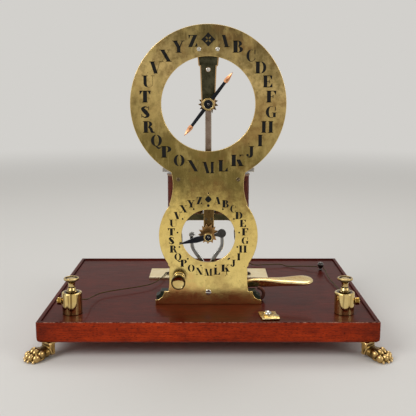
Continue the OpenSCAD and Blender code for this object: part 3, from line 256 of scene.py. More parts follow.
def mahogany(name, pale, mid, dark, gloss):
    """French-polished mahogany: ribbon figure 26 mm wide, grain 1.1 mm, mottling 9 by 16 mm, dark pores
    drawn 0.8 by 3 mm to show, under a clear shellac coat. It darkens over the last 42 mm at each corner,
    partly dirt and partly painted shade, and the top arris is rubbed pale in chips of 4 mm."""
    made, tree, shader, at = finish(name, {"Coat Weight": gloss, "Coat Roughness": 0.06, "Coat IOR": 1.45,
                                           "Specular IOR Level": 0.04})
    uv = put(tree, "UVMap", uv_map="lay")
    band, grain, pore = (put(tree, "Mapping", {"Vector": uv, "Scale": (1 / long, 1 / wide, 1)})
                         for long, wide in ((150, 26), (26, 1.1), (3, 0.8)))
    band, grain, pore = (put(tree, "TexNoise", {"Vector": v, "Scale": 1.0, "Detail": d, "Distortion": 0.4})
                         for v, d in ((band, 3), (grain, 5), (pore, 2)))
    band = put(tree, "MapRange", {"Value": band, "From Min": 0.35, "From Max": 0.65})
    line = put(tree, "MapRange", {"Value": grain, "From Min": 0.45, "From Max": 0.8, "To Max": 0.8})
    figure = put(tree, "Mapping", {"Vector": uv, "Scale": (1 / 16, 1 / 9, 1)})
    figure = put(tree, "TexNoise", {"Vector": figure, "Scale": 1.0, "Detail": 6, "Roughness": 0.6})
    figure = put(tree, "MapRange", {"Value": figure, "From Min": 0.42, "From Max": 0.7, "To Max": 0.55})
    fleck = put(tree, "MapRange", {"Value": pore, "From Min": 0.52, "From Max": 0.72, "To Max": 0.75})
    inside = put(tree, "VectorMath", {0: at}, operation="ABSOLUTE")
    corner = (board_w * 5e-4, board_d * 5e-4, rim_z * 1e-3)
    inside = put(tree, "VectorMath", {0: corner, 1: inside}, operation="SUBTRACT")
    in_x, in_y, in_z = put(tree, "SeparateXYZ", {0: inside}).node.outputs
    # painted shade over dirt: the wood darkens over the last 42 mm towards each corner of the board
    corner_wear_and_shade = put(tree, "Math", {0: in_x, 1: in_y}, operation="MAXIMUM")
    corner_wear_and_shade = put(tree, "MapRange", {"Value": corner_wear_and_shade, "From Max": 0.042, "To Min": 0.5, "To Max": 0.0})
    arris = put(tree, "Math", {0: in_x, 1: in_y}, operation="MINIMUM")
    arris = put(tree, "Math", {0: arris, 1: in_z}, operation="ADD")
    arris = put(tree, "MapRange", {"Value": arris, "From Min": 0.0004, "From Max": 0.001, "To Min": 1.0,
                                   "To Max": 0.0})
    chips = put(tree, "TexNoise", {"Vector": at, "Scale": 1000 / 4, "Detail": 5, "Roughness": 0.7})
    chips = put(tree, "MapRange", {"Value": chips, "From Min": 0.44, "From Max": 0.66, "To Max": 0.8})
    arris = put(tree, "Math", {0: arris, 1: chips}, operation="MULTIPLY")
    dress(shader, pale, ((band, mid), (line, dark), (figure, dark), (fleck, "#200a06"), (corner_wear_and_shade, "#260a05"),
                         (arris, "#c08a74")), (grain, 0.28, 0.5), (fleck, 0.25, 0.00006), invert=True)
    return made


# polished mahogany, two copies: a lit warm orange-red with dark streaks, a deep wine red in painted shade
# under gloss
lit_side_wood = mahogany("mahogany_polished_lit_sides", "#b53a10", "#982d0b", "#581607", 0.16)
shaded_top_wood = mahogany("mahogany_polished_shaded_tops", "#5b1606", "#4c1105", "#350b03", 0.11)
moulding = eased_line([(60, board_low), (3, board_low), (0.4, board_low + 2.4), (0, board_low + 6),
                       (0, rim_z), (4, rim_z), (4, 37.2), (5.2, 37.2), (5.2, deck), (6, deck)],
                      [1.2, 1.2, 1.5, 0.9, 0.5, 0.2, 0.2, 0.35])
# painted light and shade: the lit copy below the crest and underneath, the shaded one on the rim, groove and
# panel
crest = int(np.argmax(moulding[:, 1] > rim_z - 1)) + 2
k = np.linspace(-1, 1, 9)
sides = []
for quarter in range(4):
    half, out = (board_d / 2, board_w / 2) if quarter % 2 else (board_w / 2, board_d / 2)
    run = np.outer(half - moulding[:, 0], k)
    back_off = np.repeat(-(out - moulding[:, 0])[:, None], 9, 1)
    c, s = math.cos(quarter * math.pi / 2), math.sin(quarter * math.pi / 2)
    level = np.repeat(moulding[:, 1:], 9, 1)
    around = np.stack([run * c - back_off * s, run * s + back_off * c, level], -1)
    down = reach(moulding) + 90 * quarter
    sides += [patch(around[:crest], span=(2 * half, 1), down=down[:crest]),
              patch(around[crest - 1:], span=(2 * half, 1), down=down[crest - 1:])]
x, y = np.meshgrid(np.linspace(-1, 1, 30), np.linspace(-1, 1, 24))
for inset, z in ((6, deck), (60, board_low)):
    half_w, half_d = board_w / 2 - inset, board_d / 2 - inset
    flat = np.stack([x * half_w, y * half_d, np.full(x.shape, z)], -1)
    sides.append(patch(flat, span=(2 * half_w, 2 * half_d)))
board = piece("base_board_polished", sides, [lit_side_wood, shaded_top_wood] * 4 + [shaded_top_wood, lit_side_wood], "frame",
              ["base_board"])
corner_wear_and_shade = board.modifiers.new("worn_corners", "BEVEL")
corner_wear_and_shade.width, corner_wear_and_shade.segments, corner_wear_and_shade.limit_method, corner_wear_and_shade.angle_limit = 0.0006, 2, "ANGLE", math.radians(50)


# Paw feet: four lion's paws cast in bronze and gilt, the gilding dark in the hollows with dirt and painted
# shade, and lit on the knuckles by a painted highlight. Each hangs from a flange screwed under the board's
# corner.
def metal(name, clean, dull, deep, rough, cloud_mm, speck=0.25, edge=None, grain=(1, 1, 1)):
    """A worked metal: clean colour under patches of dull film about cloud_mm wide, deep colour in hollows
    and specks, and rubbed arrises. Fine marks 0.5 mm wide, drawn coarse enough to show, follow the grain."""
    made, tree, shader, at = finish(name, {"Metallic": 1.0})
    film = put(tree, "TexNoise", {"Vector": at, "Scale": 1000 / cloud_mm, "Detail": 6, "Roughness": 0.62})
    film = put(tree, "MapRange", {"Value": film, "From Min": 0.36, "From Max": 0.66})
    spot = put(tree, "TexNoise", {"Vector": at, "Scale": 2600 / cloud_mm, "Detail": 3})
    spot = put(tree, "MapRange", {"Value": spot, "From Min": 0.6, "From Max": 0.76, "To Max": speck})
    hollow, rim = (put(tree, "Attribute", out="Fac", attribute_name=mark) for mark in ("hollow", "rim"))
    dark = put(tree, "Math", {0: spot, 1: hollow}, operation="MAXIMUM")
    fine = put(tree, "Mapping", {"Vector": at, "Scale": tuple(2000 * g for g in grain)})
    fine = put(tree, "TexNoise", {"Vector": fine, "Scale": 1.0, "Detail": 3})
    both = put(tree, "Math", {0: film, 1: fine, 2: dark}, operation="MULTIPLY_ADD")
    both = put(tree, "Math", {0: both, 1: rim}, operation="SUBTRACT")
    layers = ((film, dull), (dark, deep), (rim, edge or clean))
    dress(shader, clean, layers, (both, *rough), (fine, 0.12, 0.00004))
    return made


def bent(wave, power):
    """A wave between -1 and 1 raised to power, with its sign kept."""
    return np.sign(wave) * np.abs(wave) ** power


def pebble(centre, radii, pitch=0.0, power=1.0):
    """A rounded lump: an ellipsoid whose cosines and sines are raised to power, tipped about y by pitch."""
    u, v = np.linspace(0, 2 * np.pi, 28, endpoint=False), np.linspace(-np.pi / 2, np.pi / 2, 15)[:, None]
    level = bent(np.cos(v), power)
    p = np.stack([level * bent(np.cos(u), power), level * bent(np.sin(u), power),
                  bent(np.sin(v), power) + 0 * u], -1) * radii
    c, s = math.cos(math.radians(pitch)), math.sin(math.radians(pitch))
    tipped = np.stack([p[..., 0] * c + p[..., 2] * s, p[..., 1], p[..., 2] * c - p[..., 0] * s], -1)
    return patch(tipped + centre, ring=True)


def solved(made):
    """The mesh that an object's modifiers leave. The object itself is taken away."""
    mesh = bpy.data.meshes.new_from_object(made.evaluated_get(bpy.context.evaluated_depsgraph_get()))
    bpy.data.objects.remove(made)
    return mesh


def read(items, key, width=3, kind=float):
    """One value of each vertex, edge or face of a mesh, as rows of numbers."""
    flat = np.zeros(len(items) * width, kind)
    items.foreach_get(key, flat)
    return flat.reshape(-1, width)


def shade(mesh, mark, values):
    """Writes a number at each vertex, which a material reads as an attribute."""
    mesh.attributes.new(mark, "FLOAT", "POINT").data.foreach_set("value", values.astype(np.float32))


# gilt cast bronze: soft dull gold, with dirt and painted shade nearly black in the hollows and painted
# highlights
gilt = metal("gilt_bronze_cast", "#b08c4e", "#846a38", "#22170a", (0.24, 0.48), 5, 0.45, "#ecc98c")
# flange, three lumps of the leg, instep, ball and sole, then a knuckle, a pad and a claw for each toe
lumps = [pebble((-5, 0, 16.1), (11.5, 8.2, 0.9), 0, 0.2), pebble((4.2, 0, 11.4), (3.4, 8.2, 5.2), 0, 0.25),
         pebble((2.8, 0, 7.4), (1.9, 8.2, 4.4), 0, 0.3), pebble((6, 0, 7.6), (1.5, 8.7, 5.6), 20, 0.7),
         pebble((10.5, 0, 6.3), (9, 8.5, 5.2), 14, 0.85), pebble((16.5, 0, 6), (8, 9.6, 5.4), 12, 0.85),
         pebble((19.5, 0, 2.8), (8.5, 9.6, 2.8), 4, 0.7)]
for i, off in ((-1.5, 2.6), (-0.5, 0), (0.5, 0), (1.5, 2.6)):
    lumps += [pebble((19.8 - off, i * 5, 8.6 - off * 0.5), (4.6, 2.75, 3.7), 24),
              pebble((25.8 - off, i * 5.4, 4.5), (4.2, 2.85, 4.1), 18),
              pebble((29.8 - off, i * 5.4, 2), (2.2, 1.2, 1.5), 30)]
block = piece("paw_block", lumps, gilt)
cast = block.modifiers.new("one_casting", "REMESH")
cast.mode, cast.voxel_size = "VOXEL", 0.0004
chased = block.modifiers.new("chased", "SMOOTH")
chased.factor, chased.iterations = 0.5, 5
paw = solved(block)
co = read(paw.vertices, "co", 3, np.float32)
co[:, 2] = np.maximum(co[:, 2], 0)
paw.vertices.foreach_set("co", co.ravel())
paw.update()
ends = read(paw.edges, "vertices", 2, np.int32)
ends = np.concatenate([ends, ends[:, ::-1]])
count = np.bincount(ends[:, 0], minlength=len(co))[:, None]


def spread(values):
    """Each vertex's value as the mean of its neighbours'."""
    total = np.zeros_like(values)
    np.add.at(total, ends[:, 0], values[ends[:, 1]])
    return total / count


# a vertex lies in a hollow where its neighbours stand proud of it, 0.01 mm being a full one
full_depth = 0.00001
proud = (spread(co) - co) * read(paw.vertices, "normal", 3, np.float32)
hollow = proud.sum(1, keepdims=True) / full_depth
for i in range(3):
    hollow = spread(hollow)
fur_x, fur_reach = 0.0125, 0.004
fur = 0.42 * np.exp(-((co[:, 0] - fur_x) / fur_reach) ** 4)
# painted shade darkens the hollows over their dirt, and the rim colour paints a highlight on the convex
# knuckles
shade(paw, "hollow", np.clip(np.maximum(0.8 * hollow[:, 0], fur), 0, 1))
shade(paw, "rim", np.clip(-0.3 * hollow[:, 0] - fur, 0, 1))
paw.polygons.foreach_set("use_smooth", np.ones(len(paw.polygons), bool))
paw_x, paw_y = 0.162, 0.121
for end, sy in (("front", -1), ("back", 1)):
    for side, sx in (("left", -1), ("right", 1)):
        a = math.atan2(sy, sx)
        turn = np.array([[math.cos(a), -math.sin(a), 0], [math.sin(a), math.cos(a), 0], [0, 0, 1]])
        turned_co = co @ turn.T + [sx * paw_x, sy * paw_y, 0]
        again = paw.copy()
        again.vertices.foreach_set("co", turned_co.astype(np.float32).ravel())
        again.update()
        place(f"lion_paw_{end}_{side}", again, "frame", [f"paw_{end}_{side}"])


# Face plate: sawn from sheet brass 2.5 mm thick and filed to its outline. Handling, old lacquer and painted
# light make it olive and dull above, warmer and brighter below, with the arrises rubbed to clean metal.
def eased(name, width, material, steps=2, angle=35.0):
    """A copy of a CAD node with its arrises rounded: its loose triangles are merged, flat faces joined, and
    each outer edge sharper than angle cut back by width mm. The new faces carry rim = 1."""
    node = frame["nodes"][name]
    bm = bmesh.new()
    bm.from_mesh(node.data)
    bmesh.ops.remove_doubles(bm, verts=bm.verts, dist=2e-6)
    bmesh.ops.dissolve_limit(bm, angle_limit=math.radians(0.8), verts=bm.verts, edges=bm.edges)
    rim = bm.faces.layers.float.new("rim")
    outer = [e for e in bm.edges if e.is_manifold and e.is_convex]
    sharp = [e for e in outer if e.calc_face_angle(0) > math.radians(angle)]
    cut = bmesh.ops.bevel(bm, geom=sharp, offset=width * 1e-3, offset_type="OFFSET", segments=steps,
                          profile=0.5, affect="EDGES", clamp_overlap=False)
    for face in cut["faces"]:
        face[rim] = 1.0
    for face in bm.faces:
        face.smooth = True
    mesh = bpy.data.meshes.new(name + "_eased")
    bm.to_mesh(mesh)
    bm.free()
    mesh.materials.clear()
    mesh.materials.append(material)
    made = place(name + "_eased", mesh, node["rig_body"], [name])
    even = made.modifiers.new("flat_faces", "WEIGHTED_NORMAL")
    even.weight, even.keep_sharp = 50, False
    return made


low_z, up_z, plate_y = 115.0, 256.3, -70.0
# sheet brass under old lacquer: cloudy olive above and a warm gold gloss below, both partly painted light,
# with dark specks
plate_brass, tree, shader, at = finish("sheet_brass_lacquer_and_painted_light", {"Metallic": 1.0})
along, _, height = put(tree, "SeparateXYZ", {0: at}).node.outputs
cloud = put(tree, "TexNoise", {"Vector": at, "Scale": 1000 / 34, "Detail": 7, "Roughness": 0.62})
mottle = put(tree, "TexNoise", {"Vector": at, "Scale": 1000 / 6, "Detail": 6, "Roughness": 0.68})
wander = height
for pattern, share in ((cloud, 0.07), (mottle, 0.03), (along, 0.15)):
    wander = put(tree, "Math", {0: pattern, 1: share, 2: wander}, operation="MULTIPLY_ADD")
# painted light and reflection: the ramp by height darkens the upper ring and top, lights the lower body,
# warms the foot
ramp_low, ramp_span = 0.09, 0.3
wander = put(tree, "MapRange", {"Value": wander, "From Min": ramp_low, "From Max": ramp_low + ramp_span})
tarnish_and_painted_light = put(tree, "ValToRGB", {0: wander}, out="Color")
stops = tarnish_and_painted_light.node.color_ramp.elements
for n, (level, code) in enumerate(((0.093, "#da9c62"), (0.113, "#fde28e"), (0.185, "#f5d67e"),
                                   (0.22, "#877541"), (0.25, "#82703c"), (0.292, "#bfa364"),
                                   (0.332, "#d8ba7a"), (0.38, "#6e5f3b"))):
    stop = stops[n] if n < 2 else stops.new(1.0)
    stop.position, stop.color = (level - ramp_low) / ramp_span, linear(code)
above = put(tree, "MapRange", {"Value": height, "From Min": 0.13, "From Max": 0.19, "To Min": 0.2})
blotch = put(tree, "MapRange", {"Value": mottle, "From Min": 0.44, "From Max": 0.7, "To Max": 0.75})
blotch = put(tree, "Math", {0: blotch, 1: above}, operation="MULTIPLY")
warm = put(tree, "TexNoise", {"Vector": at, "Scale": 1000 / 48, "Detail": 6, "Roughness": 0.62})
warm = put(tree, "MapRange", {"Value": warm, "From Min": 0.5, "From Max": 0.68, "To Max": 0.55})
layers = [(blotch, "#6f6034"), (warm, "#9a6a3e")]
# clouds and wiping marks, drawn out upwards: width and height in mm, least noise, most share and colour
for wide, tall, least, most, code in ((24, 30, 0.5, 0.55, "#655630"), (13, 24, 0.52, 0.6, "#d9bf78"),
                                      (2.6, 26, 0.56, 0.3, "#d8c07e")):
    drawn = put(tree, "Mapping", {"Vector": at, "Location": (wide, 0, 0),
                                  "Scale": (1000 / wide, 1000 / wide, 1000 / tall)})
    drawn = put(tree, "TexNoise", {"Vector": drawn, "Scale": 1.0, "Detail": 6, "Roughness": 0.62})
    drawn = put(tree, "MapRange", {"Value": drawn, "From Min": least, "From Max": least + 0.2,
                                   "To Max": most})
    layers.append((put(tree, "Math", {0: drawn, 1: above}, operation="MULTIPLY"), code))
spot = put(tree, "TexVoronoi", {"Vector": at, "Scale": 1000 / 5.5, "Randomness": 1.0}, out="Distance")
spot = put(tree, "MapRange", {"Value": spot, "From Min": 0.05, "From Max": 0.15, "To Min": 0.75,
                              "To Max": 0.0})
few = put(tree, "MapRange", {"Value": cloud, "From Min": 0.47, "From Max": 0.6})
spot = put(tree, "Math", {0: spot, 1: few}, operation="MULTIPLY")
rim = put(tree, "Attribute", out="Fac", attribute_name="rim")
layers += [(spot, "#3a2c15"), (rim, "#f0d089")]
rough = put(tree, "MapRange", {"Value": height, "From Min": 0.14, "From Max": 0.2, "To Max": 0.16})
rough = put(tree, "Math", {0: mottle, 1: 0.36, 2: rough}, operation="MULTIPLY_ADD")
rough = put(tree, "Math", {0: rim, 1: -0.08, 2: rough}, operation="MULTIPLY_ADD", use_clamp=True)
feed(shader, "Roughness", rough)
# upright draw lines 0.4 mm apart, and a foot that bows a little, so that it mirrors what lies lower
lines = put(tree, "Mapping", {"Vector": at, "Scale": (2500, 2500, 60)})
lines = put(tree, "TexNoise", {"Vector": lines, "Scale": 1.0, "Detail": 3})
bowed = put(tree, "MapRange", {"Value": height, "From Min": 0.04, "From Max": 0.1, "To Min": 210.0,
                               "To Max": 0.0})
uneven = put(tree, "Math", {0: lines, 1: 0.4, 2: mottle}, operation="MULTIPLY_ADD")
uneven = put(tree, "Math", {0: uneven, 1: bowed}, operation="ADD")
dress(shader, tarnish_and_painted_light, layers, bump=(uneven, 0.15, 0.00006))
eased("face_plate", 0.35, plate_brass)


# Dial marks: an alphabet round each hole, cut with a stencil and filled with black wax that has fallen out
# of the hairlines. Twenty-six places, a quatrefoil at the top, and a dot at every second place below.
# black wax: a dull near-black that crumbles to bare brass where a stroke is thin
wax, tree, shader, at = finish("black_wax_fill", {"Specular IOR Level": 0.2})
crumb = put(tree, "TexNoise", {"Vector": at, "Scale": 1000 / 1.1, "Detail": 4})
lost = put(tree, "Attribute", out="Fac", attribute_name="mark")
bare = put(tree, "Math", {0: crumb, 1: 0.8, 2: lost}, operation="MULTIPLY_ADD")
bare = put(tree, "MapRange", {"Value": bare, "From Min": 0.62, "From Max": 0.95})
dress(shader, "#0d0c0a", [(bare, "#8a7440")], (crumb, 0.35, 0.7))


def slant(top, low, w, y1=1.0, y0=0.0):
    """A sloping stroke of level width w, from x = top at height y1 to x = low at y0."""
    return np.array([[[top, y1], [top + w, y1]], [[low, y0], [low + w, y0]]])


def bar(x0, x1, y0, y1):
    """An upright rectangle."""
    return slant(x0, x0, x1 - x0, y1, y0)


def bow(cx, cy, rx, ry, a0, a1, thick, thin):
    """A crescent between angles a0 and a1: an outer ellipse, and an inner one less thick and less thin."""
    a, k = np.radians(np.linspace(a0, a1, 25))[:, None], np.array([0.0, 1.0])
    return np.stack([cx + (rx - k * thick) * np.cos(a), cy + (ry - k * thin) * np.sin(a)], -1)


def route(points, steps):
    """A smooth line through points: the cubic that passes each point along the chord of its neighbours."""
    p = np.array(points, float)
    q = np.concatenate([p[:1], p, p[-1:]])
    a, b, c, d = (x[:, None] for x in (q[:-3], q[1:-2], q[2:-1], q[3:]))
    k = (np.arange(steps) / steps)[None, :, None]
    line = (2 * b + (c - a) * k + (2 * a - 5 * b + 4 * c - d) * k ** 2 + (3 * b - a - 3 * c + d) * k ** 3) / 2
    return np.concatenate([line.reshape(-1, p.shape[1]), p[-1:]])


def ribbon(points, widths):
    """A stroke that swells along a smooth line: each point moved half its width to either side."""
    line = route(np.pad(np.array(points, float), ((0, 0), (0, 1))), 8)[:, :2]
    w = np.interp(np.linspace(0, 1, len(line)), np.linspace(0, 1, len(widths)), widths)[:, None]
    way = np.gradient(line, axis=0)
    side = np.stack([-way[:, 1], way[:, 0]], 1) / np.linalg.norm(way, axis=1)[:, None] * w / 2
    return np.stack([line + side, line - side], 1)


hair = 0.06


def foot(x0, x1):
    """A hairline along the foot of a letter."""
    return bar(x0, x1, 0, hair)


def head(x0, x1):
    """A hairline along the head of a letter."""
    return bar(x0, x1, 1 - hair, 1)


def stem(x):
    """A thick upright with a hairline at both ends."""
    return [bar(x - 0.045, x + 0.245, 0, 1), foot(x - 0.1, x + 0.3), head(x - 0.1, x + 0.3)]


def drop(x0, x1, x2, y0, y1):
    """The wedge at the end of an arm, from x0 and x1 at y0 to a point at x2, y1."""
    return np.array([[[x0, y0], [x1, y0]], [[x2 - 0.02, y1], [x2 + 0.02, y1]]])


main = stem(0.1)
round_both = [bow(0.45, 0.5, 0.43, 0.5, a, a + 164, 0.235, 0.03) for a in (98, -82)]
middle_arm = [bar(0.34, 0.5, 0.475, 0.525), bar(0.49, 0.55, 0.36, 0.64)]
top_arm = [head(0.28, 0.76), drop(0.56, 0.76, 0.74, 0.96, 0.68)]
low_arm = [foot(0.28, 0.8), drop(0.56, 0.8, 0.78, 0.04, 0.34)]
open_bow = [bow(0.46, 0.5, 0.42, 0.5, 66, 294, 0.235, 0.03), bar(0.76, 0.82, 0.62, 0.96)]
# each letter: width, strokes still filled, and hairlines that have lost their wax
letters = {
    "A": (0.98, [slant(0.34, 0.62, 0.28), foot(0.54, 0.98)],
          [slant(0.4, 0.1, 0.05), bar(0.26, 0.52, 0.27, 0.31), foot(0, 0.26)]),
    "B": (0.8, main + [bow(0.36, 0.755, 0.31, 0.245, -80, 80, 0.21, 0.03),
                       bow(0.38, 0.265, 0.37, 0.265, -80, 80, 0.235, 0.03)], []),
    "C": (0.86, open_bow + [bow(0.46, 0.5, 0.42, 0.5, 300, 335, 0.05, 0.05)], []),
    "D": (0.92, main + [bow(0.42, 0.5, 0.46, 0.5, -80, 80, 0.235, 0.03)], []),
    "E": (0.84, main + top_arm + middle_arm + low_arm, []),
    "F": (0.8, main + top_arm + middle_arm, []),
    "G": (0.94, open_bow + [bar(0.62, 0.82, 0.06, 0.42), bar(0.53, 0.91, 0.42, 0.46)], []),
    "H": (1.02, main + stem(0.7), [bar(0.32, 0.68, 0.48, 0.52)]),
    "I": (0.4, main, []),
    "J": (0.64, [bar(0.32, 0.56, 0.2, 1), head(0.24, 0.64), bow(0.3, 0.22, 0.24, 0.22, 215, 358, 0.235, 0.03),
                 bow(0.13, 0.22, 0.1, 0.1, 0, 360, 0.1, 0.1)], []),
    "K": (0.96, main + [slant(0.4, 0.64, 0.28, 0.58), foot(0.56, 0.98), head(0.62, 0.94),
                        slant(0.7, 0.62, 0.1, 1, 0.84)], [slant(0.76, 0.36, 0.05, 1, 0.4)]),
    "L": (0.84, main + low_arm, []),
    "M": (1.14, [slant(0.08, 0.4, 0.27), bar(0.82, 1.06, 0, 1), foot(0.74, 1.14), head(0.84, 1.14),
                 head(0, 0.3)],
          [bar(0.12, 0.16, 0, 0.9), slant(0.84, 0.54, 0.04), foot(0.02, 0.26)]),
    "N": (1.0, [slant(0.04, 0.62, 0.29), head(0, 0.3)],
          [bar(0.12, 0.16, 0, 0.86), bar(0.84, 0.88, 0.1, 1), foot(0.02, 0.26), head(0.74, 0.98)]),
    "O": (0.9, round_both, []),
    "P": (0.8, main + [bow(0.38, 0.73, 0.37, 0.27, -80, 80, 0.235, 0.03)], []),
    "Q": (0.9, round_both + [ribbon([(0.3, 0.06), (0.45, -0.02), (0.62, -0.16), (0.86, -0.1)],
                                    (0.02, 0.1, 0.15, 0.02))], []),
    "R": (0.94, main + [bow(0.36, 0.745, 0.35, 0.255, -80, 80, 0.225, 0.03),
                        ribbon([(0.42, 0.5), (0.6, 0.36), (0.7, 0.1), (0.92, 0.04)],
                               (0.12, 0.2, 0.21, 0.03))], []),
    "S": (0.72, [ribbon([(0.58, 0.84), (0.36, 0.95), (0.17, 0.78), (0.36, 0.52), (0.56, 0.22), (0.34, 0.04),
                         (0.12, 0.18)], (0.03, 0.1, 0.24, 0.32, 0.24, 0.1, 0.03)),
                 bar(0.58, 0.63, 0.68, 0.98), bar(0.07, 0.12, 0.02, 0.32)], []),
    "T": (0.86, stem(0.33) + [head(0.03, 0.83), drop(0.03, 0.22, 0.05, 0.96, 0.68),
                              drop(0.64, 0.83, 0.81, 0.96, 0.68)], []),
    "U": (0.94, [bar(0.08, 0.32, 0.27, 1), head(0, 0.4), bow(0.46, 0.28, 0.36, 0.28, 180, 285, 0.235, 0.03)],
          [bar(0.78, 0.82, 0.28, 1), bow(0.46, 0.28, 0.36, 0.28, 288, 360, 0.04, 0.03), head(0.66, 0.94)]),
    "V": (0.94, [slant(0.06, 0.36, 0.28), head(0, 0.42)], [slant(0.8, 0.52, 0.05), head(0.66, 0.94)]),
    "X": (0.94, [slant(0.06, 0.6, 0.29), head(0, 0.42), foot(0.52, 0.94)],
          [slant(0.76, 0.14, 0.05), head(0.6, 0.9), foot(0, 0.3)]),
    "Y": (0.92, [slant(0.04, 0.35, 0.28, 1, 0.44), bar(0.36, 0.62, 0, 0.46), head(0, 0.4), foot(0.28, 0.7),
                 slant(0.76, 0.54, 0.08, 1, 0.45), head(0.64, 0.94)], []),
    "Z": (0.84, [slant(0.48, 0.04, 0.31), drop(0.06, 0.2, 0.1, 0.96, 0.7), drop(0.6, 0.8, 0.76, 0.04, 0.32),
                 head(0.06, 0.5)], [foot(0.32, 0.8)]),
}


def fitted(strokes, wide, weight):
    """Strokes with their two edges weight times as far apart, then stretched sideways by wide."""
    middles = [s.mean(1, keepdims=True) for s in strokes]
    return [(m + (s - m) * weight) * [wide, 1] for s, m in zip(strokes, middles)]


def inlay(strokes, size, x, z, proud=0.03):
    """Strokes drawn in unit squares, scaled to size mm and laid on the plate's face at x and z."""
    y = plate_y - proud
    return [patch(np.stack([s[..., 0] * size + x, np.full(s.shape[:2], y), s[..., 1] * size + z], -1))
            for s in strokes]


def lobes(cx, cy, rx, ry, turn, pinch=2.0):
    """A closed blot: |x/rx|^pinch + |y/ry|^pinch = 1, turned by turn degrees about the middle of the mark."""
    a = np.linspace(0, 2 * np.pi, 49)
    edge = np.stack([rx * bent(np.cos(a), 2 / pinch), ry * bent(np.sin(a), 2 / pinch)], -1)
    c, s = math.cos(math.radians(turn)), math.sin(math.radians(turn))
    p = np.stack([edge * 0.001, edge], 1) + [cx, cy]
    return np.stack([p[..., 0] * c - p[..., 1] * s, p[..., 0] * s + p[..., 1] * c], -1)


widened = {"D": 1.05, "C": 0.95, "M": 0.92}
widened |= dict.fromkeys("BKPST", 1.14) | dict.fromkeys("FGJOQRUVXY", 1.08)
places = 26
filled, wear = [], []
for middle_z, radius, size, weight in ((up_z, 66.6, 12.2, 1.06), (low_z, 40.2, 8, 1.12)):
    for k, letter in enumerate("ABCDEFGHIJKLMNOPQRSTUVXYZ", 1):
        a, wide = 2 * math.pi * k / places, widened.get(letter, 1.0)
        width, kept, gone = letters[letter]
        x = radius * math.sin(a) - width * wide * size / 2
        z = middle_z + radius * math.cos(a) - size / 2
        filled += inlay(fitted(kept + gone, wide, weight), size, x, z)
        wear += [0.0] * len(kept) + [0.45] * len(gone)
star_size, star_z = 7.4, up_z + 66.3
filled += inlay([lobes(0, 0, 1, 1, 0, 0.92)], star_size, 0, star_z)
filled += inlay([lobes(0, 0, 1, 1, 0, 1.4)], 3.5, 0, low_z + 40.5)
dot_ring, dot, top_dot, smeared_dot = 33.6, (0.95, 0.95, 0), (1.5, 1.5, 0), (1.7, 0.9, 40)
for k in range(0, places, 2):
    a, shape = 2 * math.pi * k / places, {0: top_dot, 10: smeared_dot}.get(k, dot)
    filled += inlay([lobes(0, 0, *shape)], 1, dot_ring * math.sin(a), low_z + dot_ring * math.cos(a))
# two wax drips below the lower dial
filled += inlay([ribbon([(18.6, 76.6), (20, 74.6), (19.7, 72.4), (18.2, 70.6)], (0.3, 0.9, 0.6, 0.25)),
                 ribbon([(20.2, 73.4), (21.2, 72.2), (21.4, 71)], (0.2, 0.5, 0.2))], 1, 0, 0)
wear += [0.0] * (len(filled) - len(wear) - 2) + [0.25] * 2
piece("dial_marks", filled, wax, "frame", facing=(0, -1, 0), marks=wear)
petals = inlay([lobes(0.3, 0, 0.19, 0.11, q) for q in (45, 135, 225, 315)], star_size, 0, star_z, 0.05)
petals = piece("quatrefoil_petals", petals, plate_brass, "frame", facing=(0, -1, 0))


# Plate screws: turned steel, slotted, holding the plate to the foot block, the bracket and the upper cock.
# Their heads are bright, with a little dirt left in the slots, and the pair at the waist has browned.
# turned steel: a clean white glint; browned steel: a dull olive-brown that nearly sinks into the plate
bright_steel = metal("steel_turned_bright", "#dedbd4", "#bdb8ae", "#3c372f", (0.12, 0.34), 4, 0.3, "#f4f1ea")
browned_screw = metal("steel_screw_browned", "#6f5f45", "#50432d", "#221a0e", (0.26, 0.46), 3, 0.4, "#98876a")
heads = eased("plate_screws", 0.3, bright_steel, 3).data
co = read(heads.vertices, "co")
foot_head = (co[:, 2] < 0.08) & (co[:, 1] < plate_y * 1e-3 + 1e-5)
centre = [0, 0, (co[foot_head, 2].min() + co[foot_head, 2].max()) / 2]
larger = 1.4
co[foot_head] = (co[foot_head] - centre) * [larger, 1, larger] + centre
heads.vertices.foreach_set("co", co.ravel())
heads.materials.append(browned_screw)
waist_z = 0.185
at_waist = np.abs(read(heads.polygons, "center")[:, 2] - waist_z) < 0.03
heads.polygons.foreach_set("material_index", at_waist.astype(int))


# Foot block: the iron casting behind the plate's foot that takes its screws and the button's bush, painted
# black-green by brush and rubbed at the corners.
# old oil paint: a nearly black satin with brush streaks 1 mm apart, browner where the corners are rubbed
block_paint, tree, shader, at = finish("oil_paint_black_green", {"Specular IOR Level": 0.1})
brushed = put(tree, "Mapping", {"Vector": at, "Scale": (160, 900, 900)})
brushed = put(tree, "TexNoise", {"Vector": brushed, "Scale": 1.0, "Detail": 4})
rim = put(tree, "Attribute", out="Fac", attribute_name="rim")
rubbed = put(tree, "Math", {0: rim, 1: brushed}, operation="MULTIPLY")
layers = ((brushed, "#2f362f"), (rubbed, "#6a6350"))
dress(shader, "#161c19", layers, (brushed, 0.3, 0.55), (brushed, 0.3, 0.0001))
eased("foot_block", 0.5, block_paint)


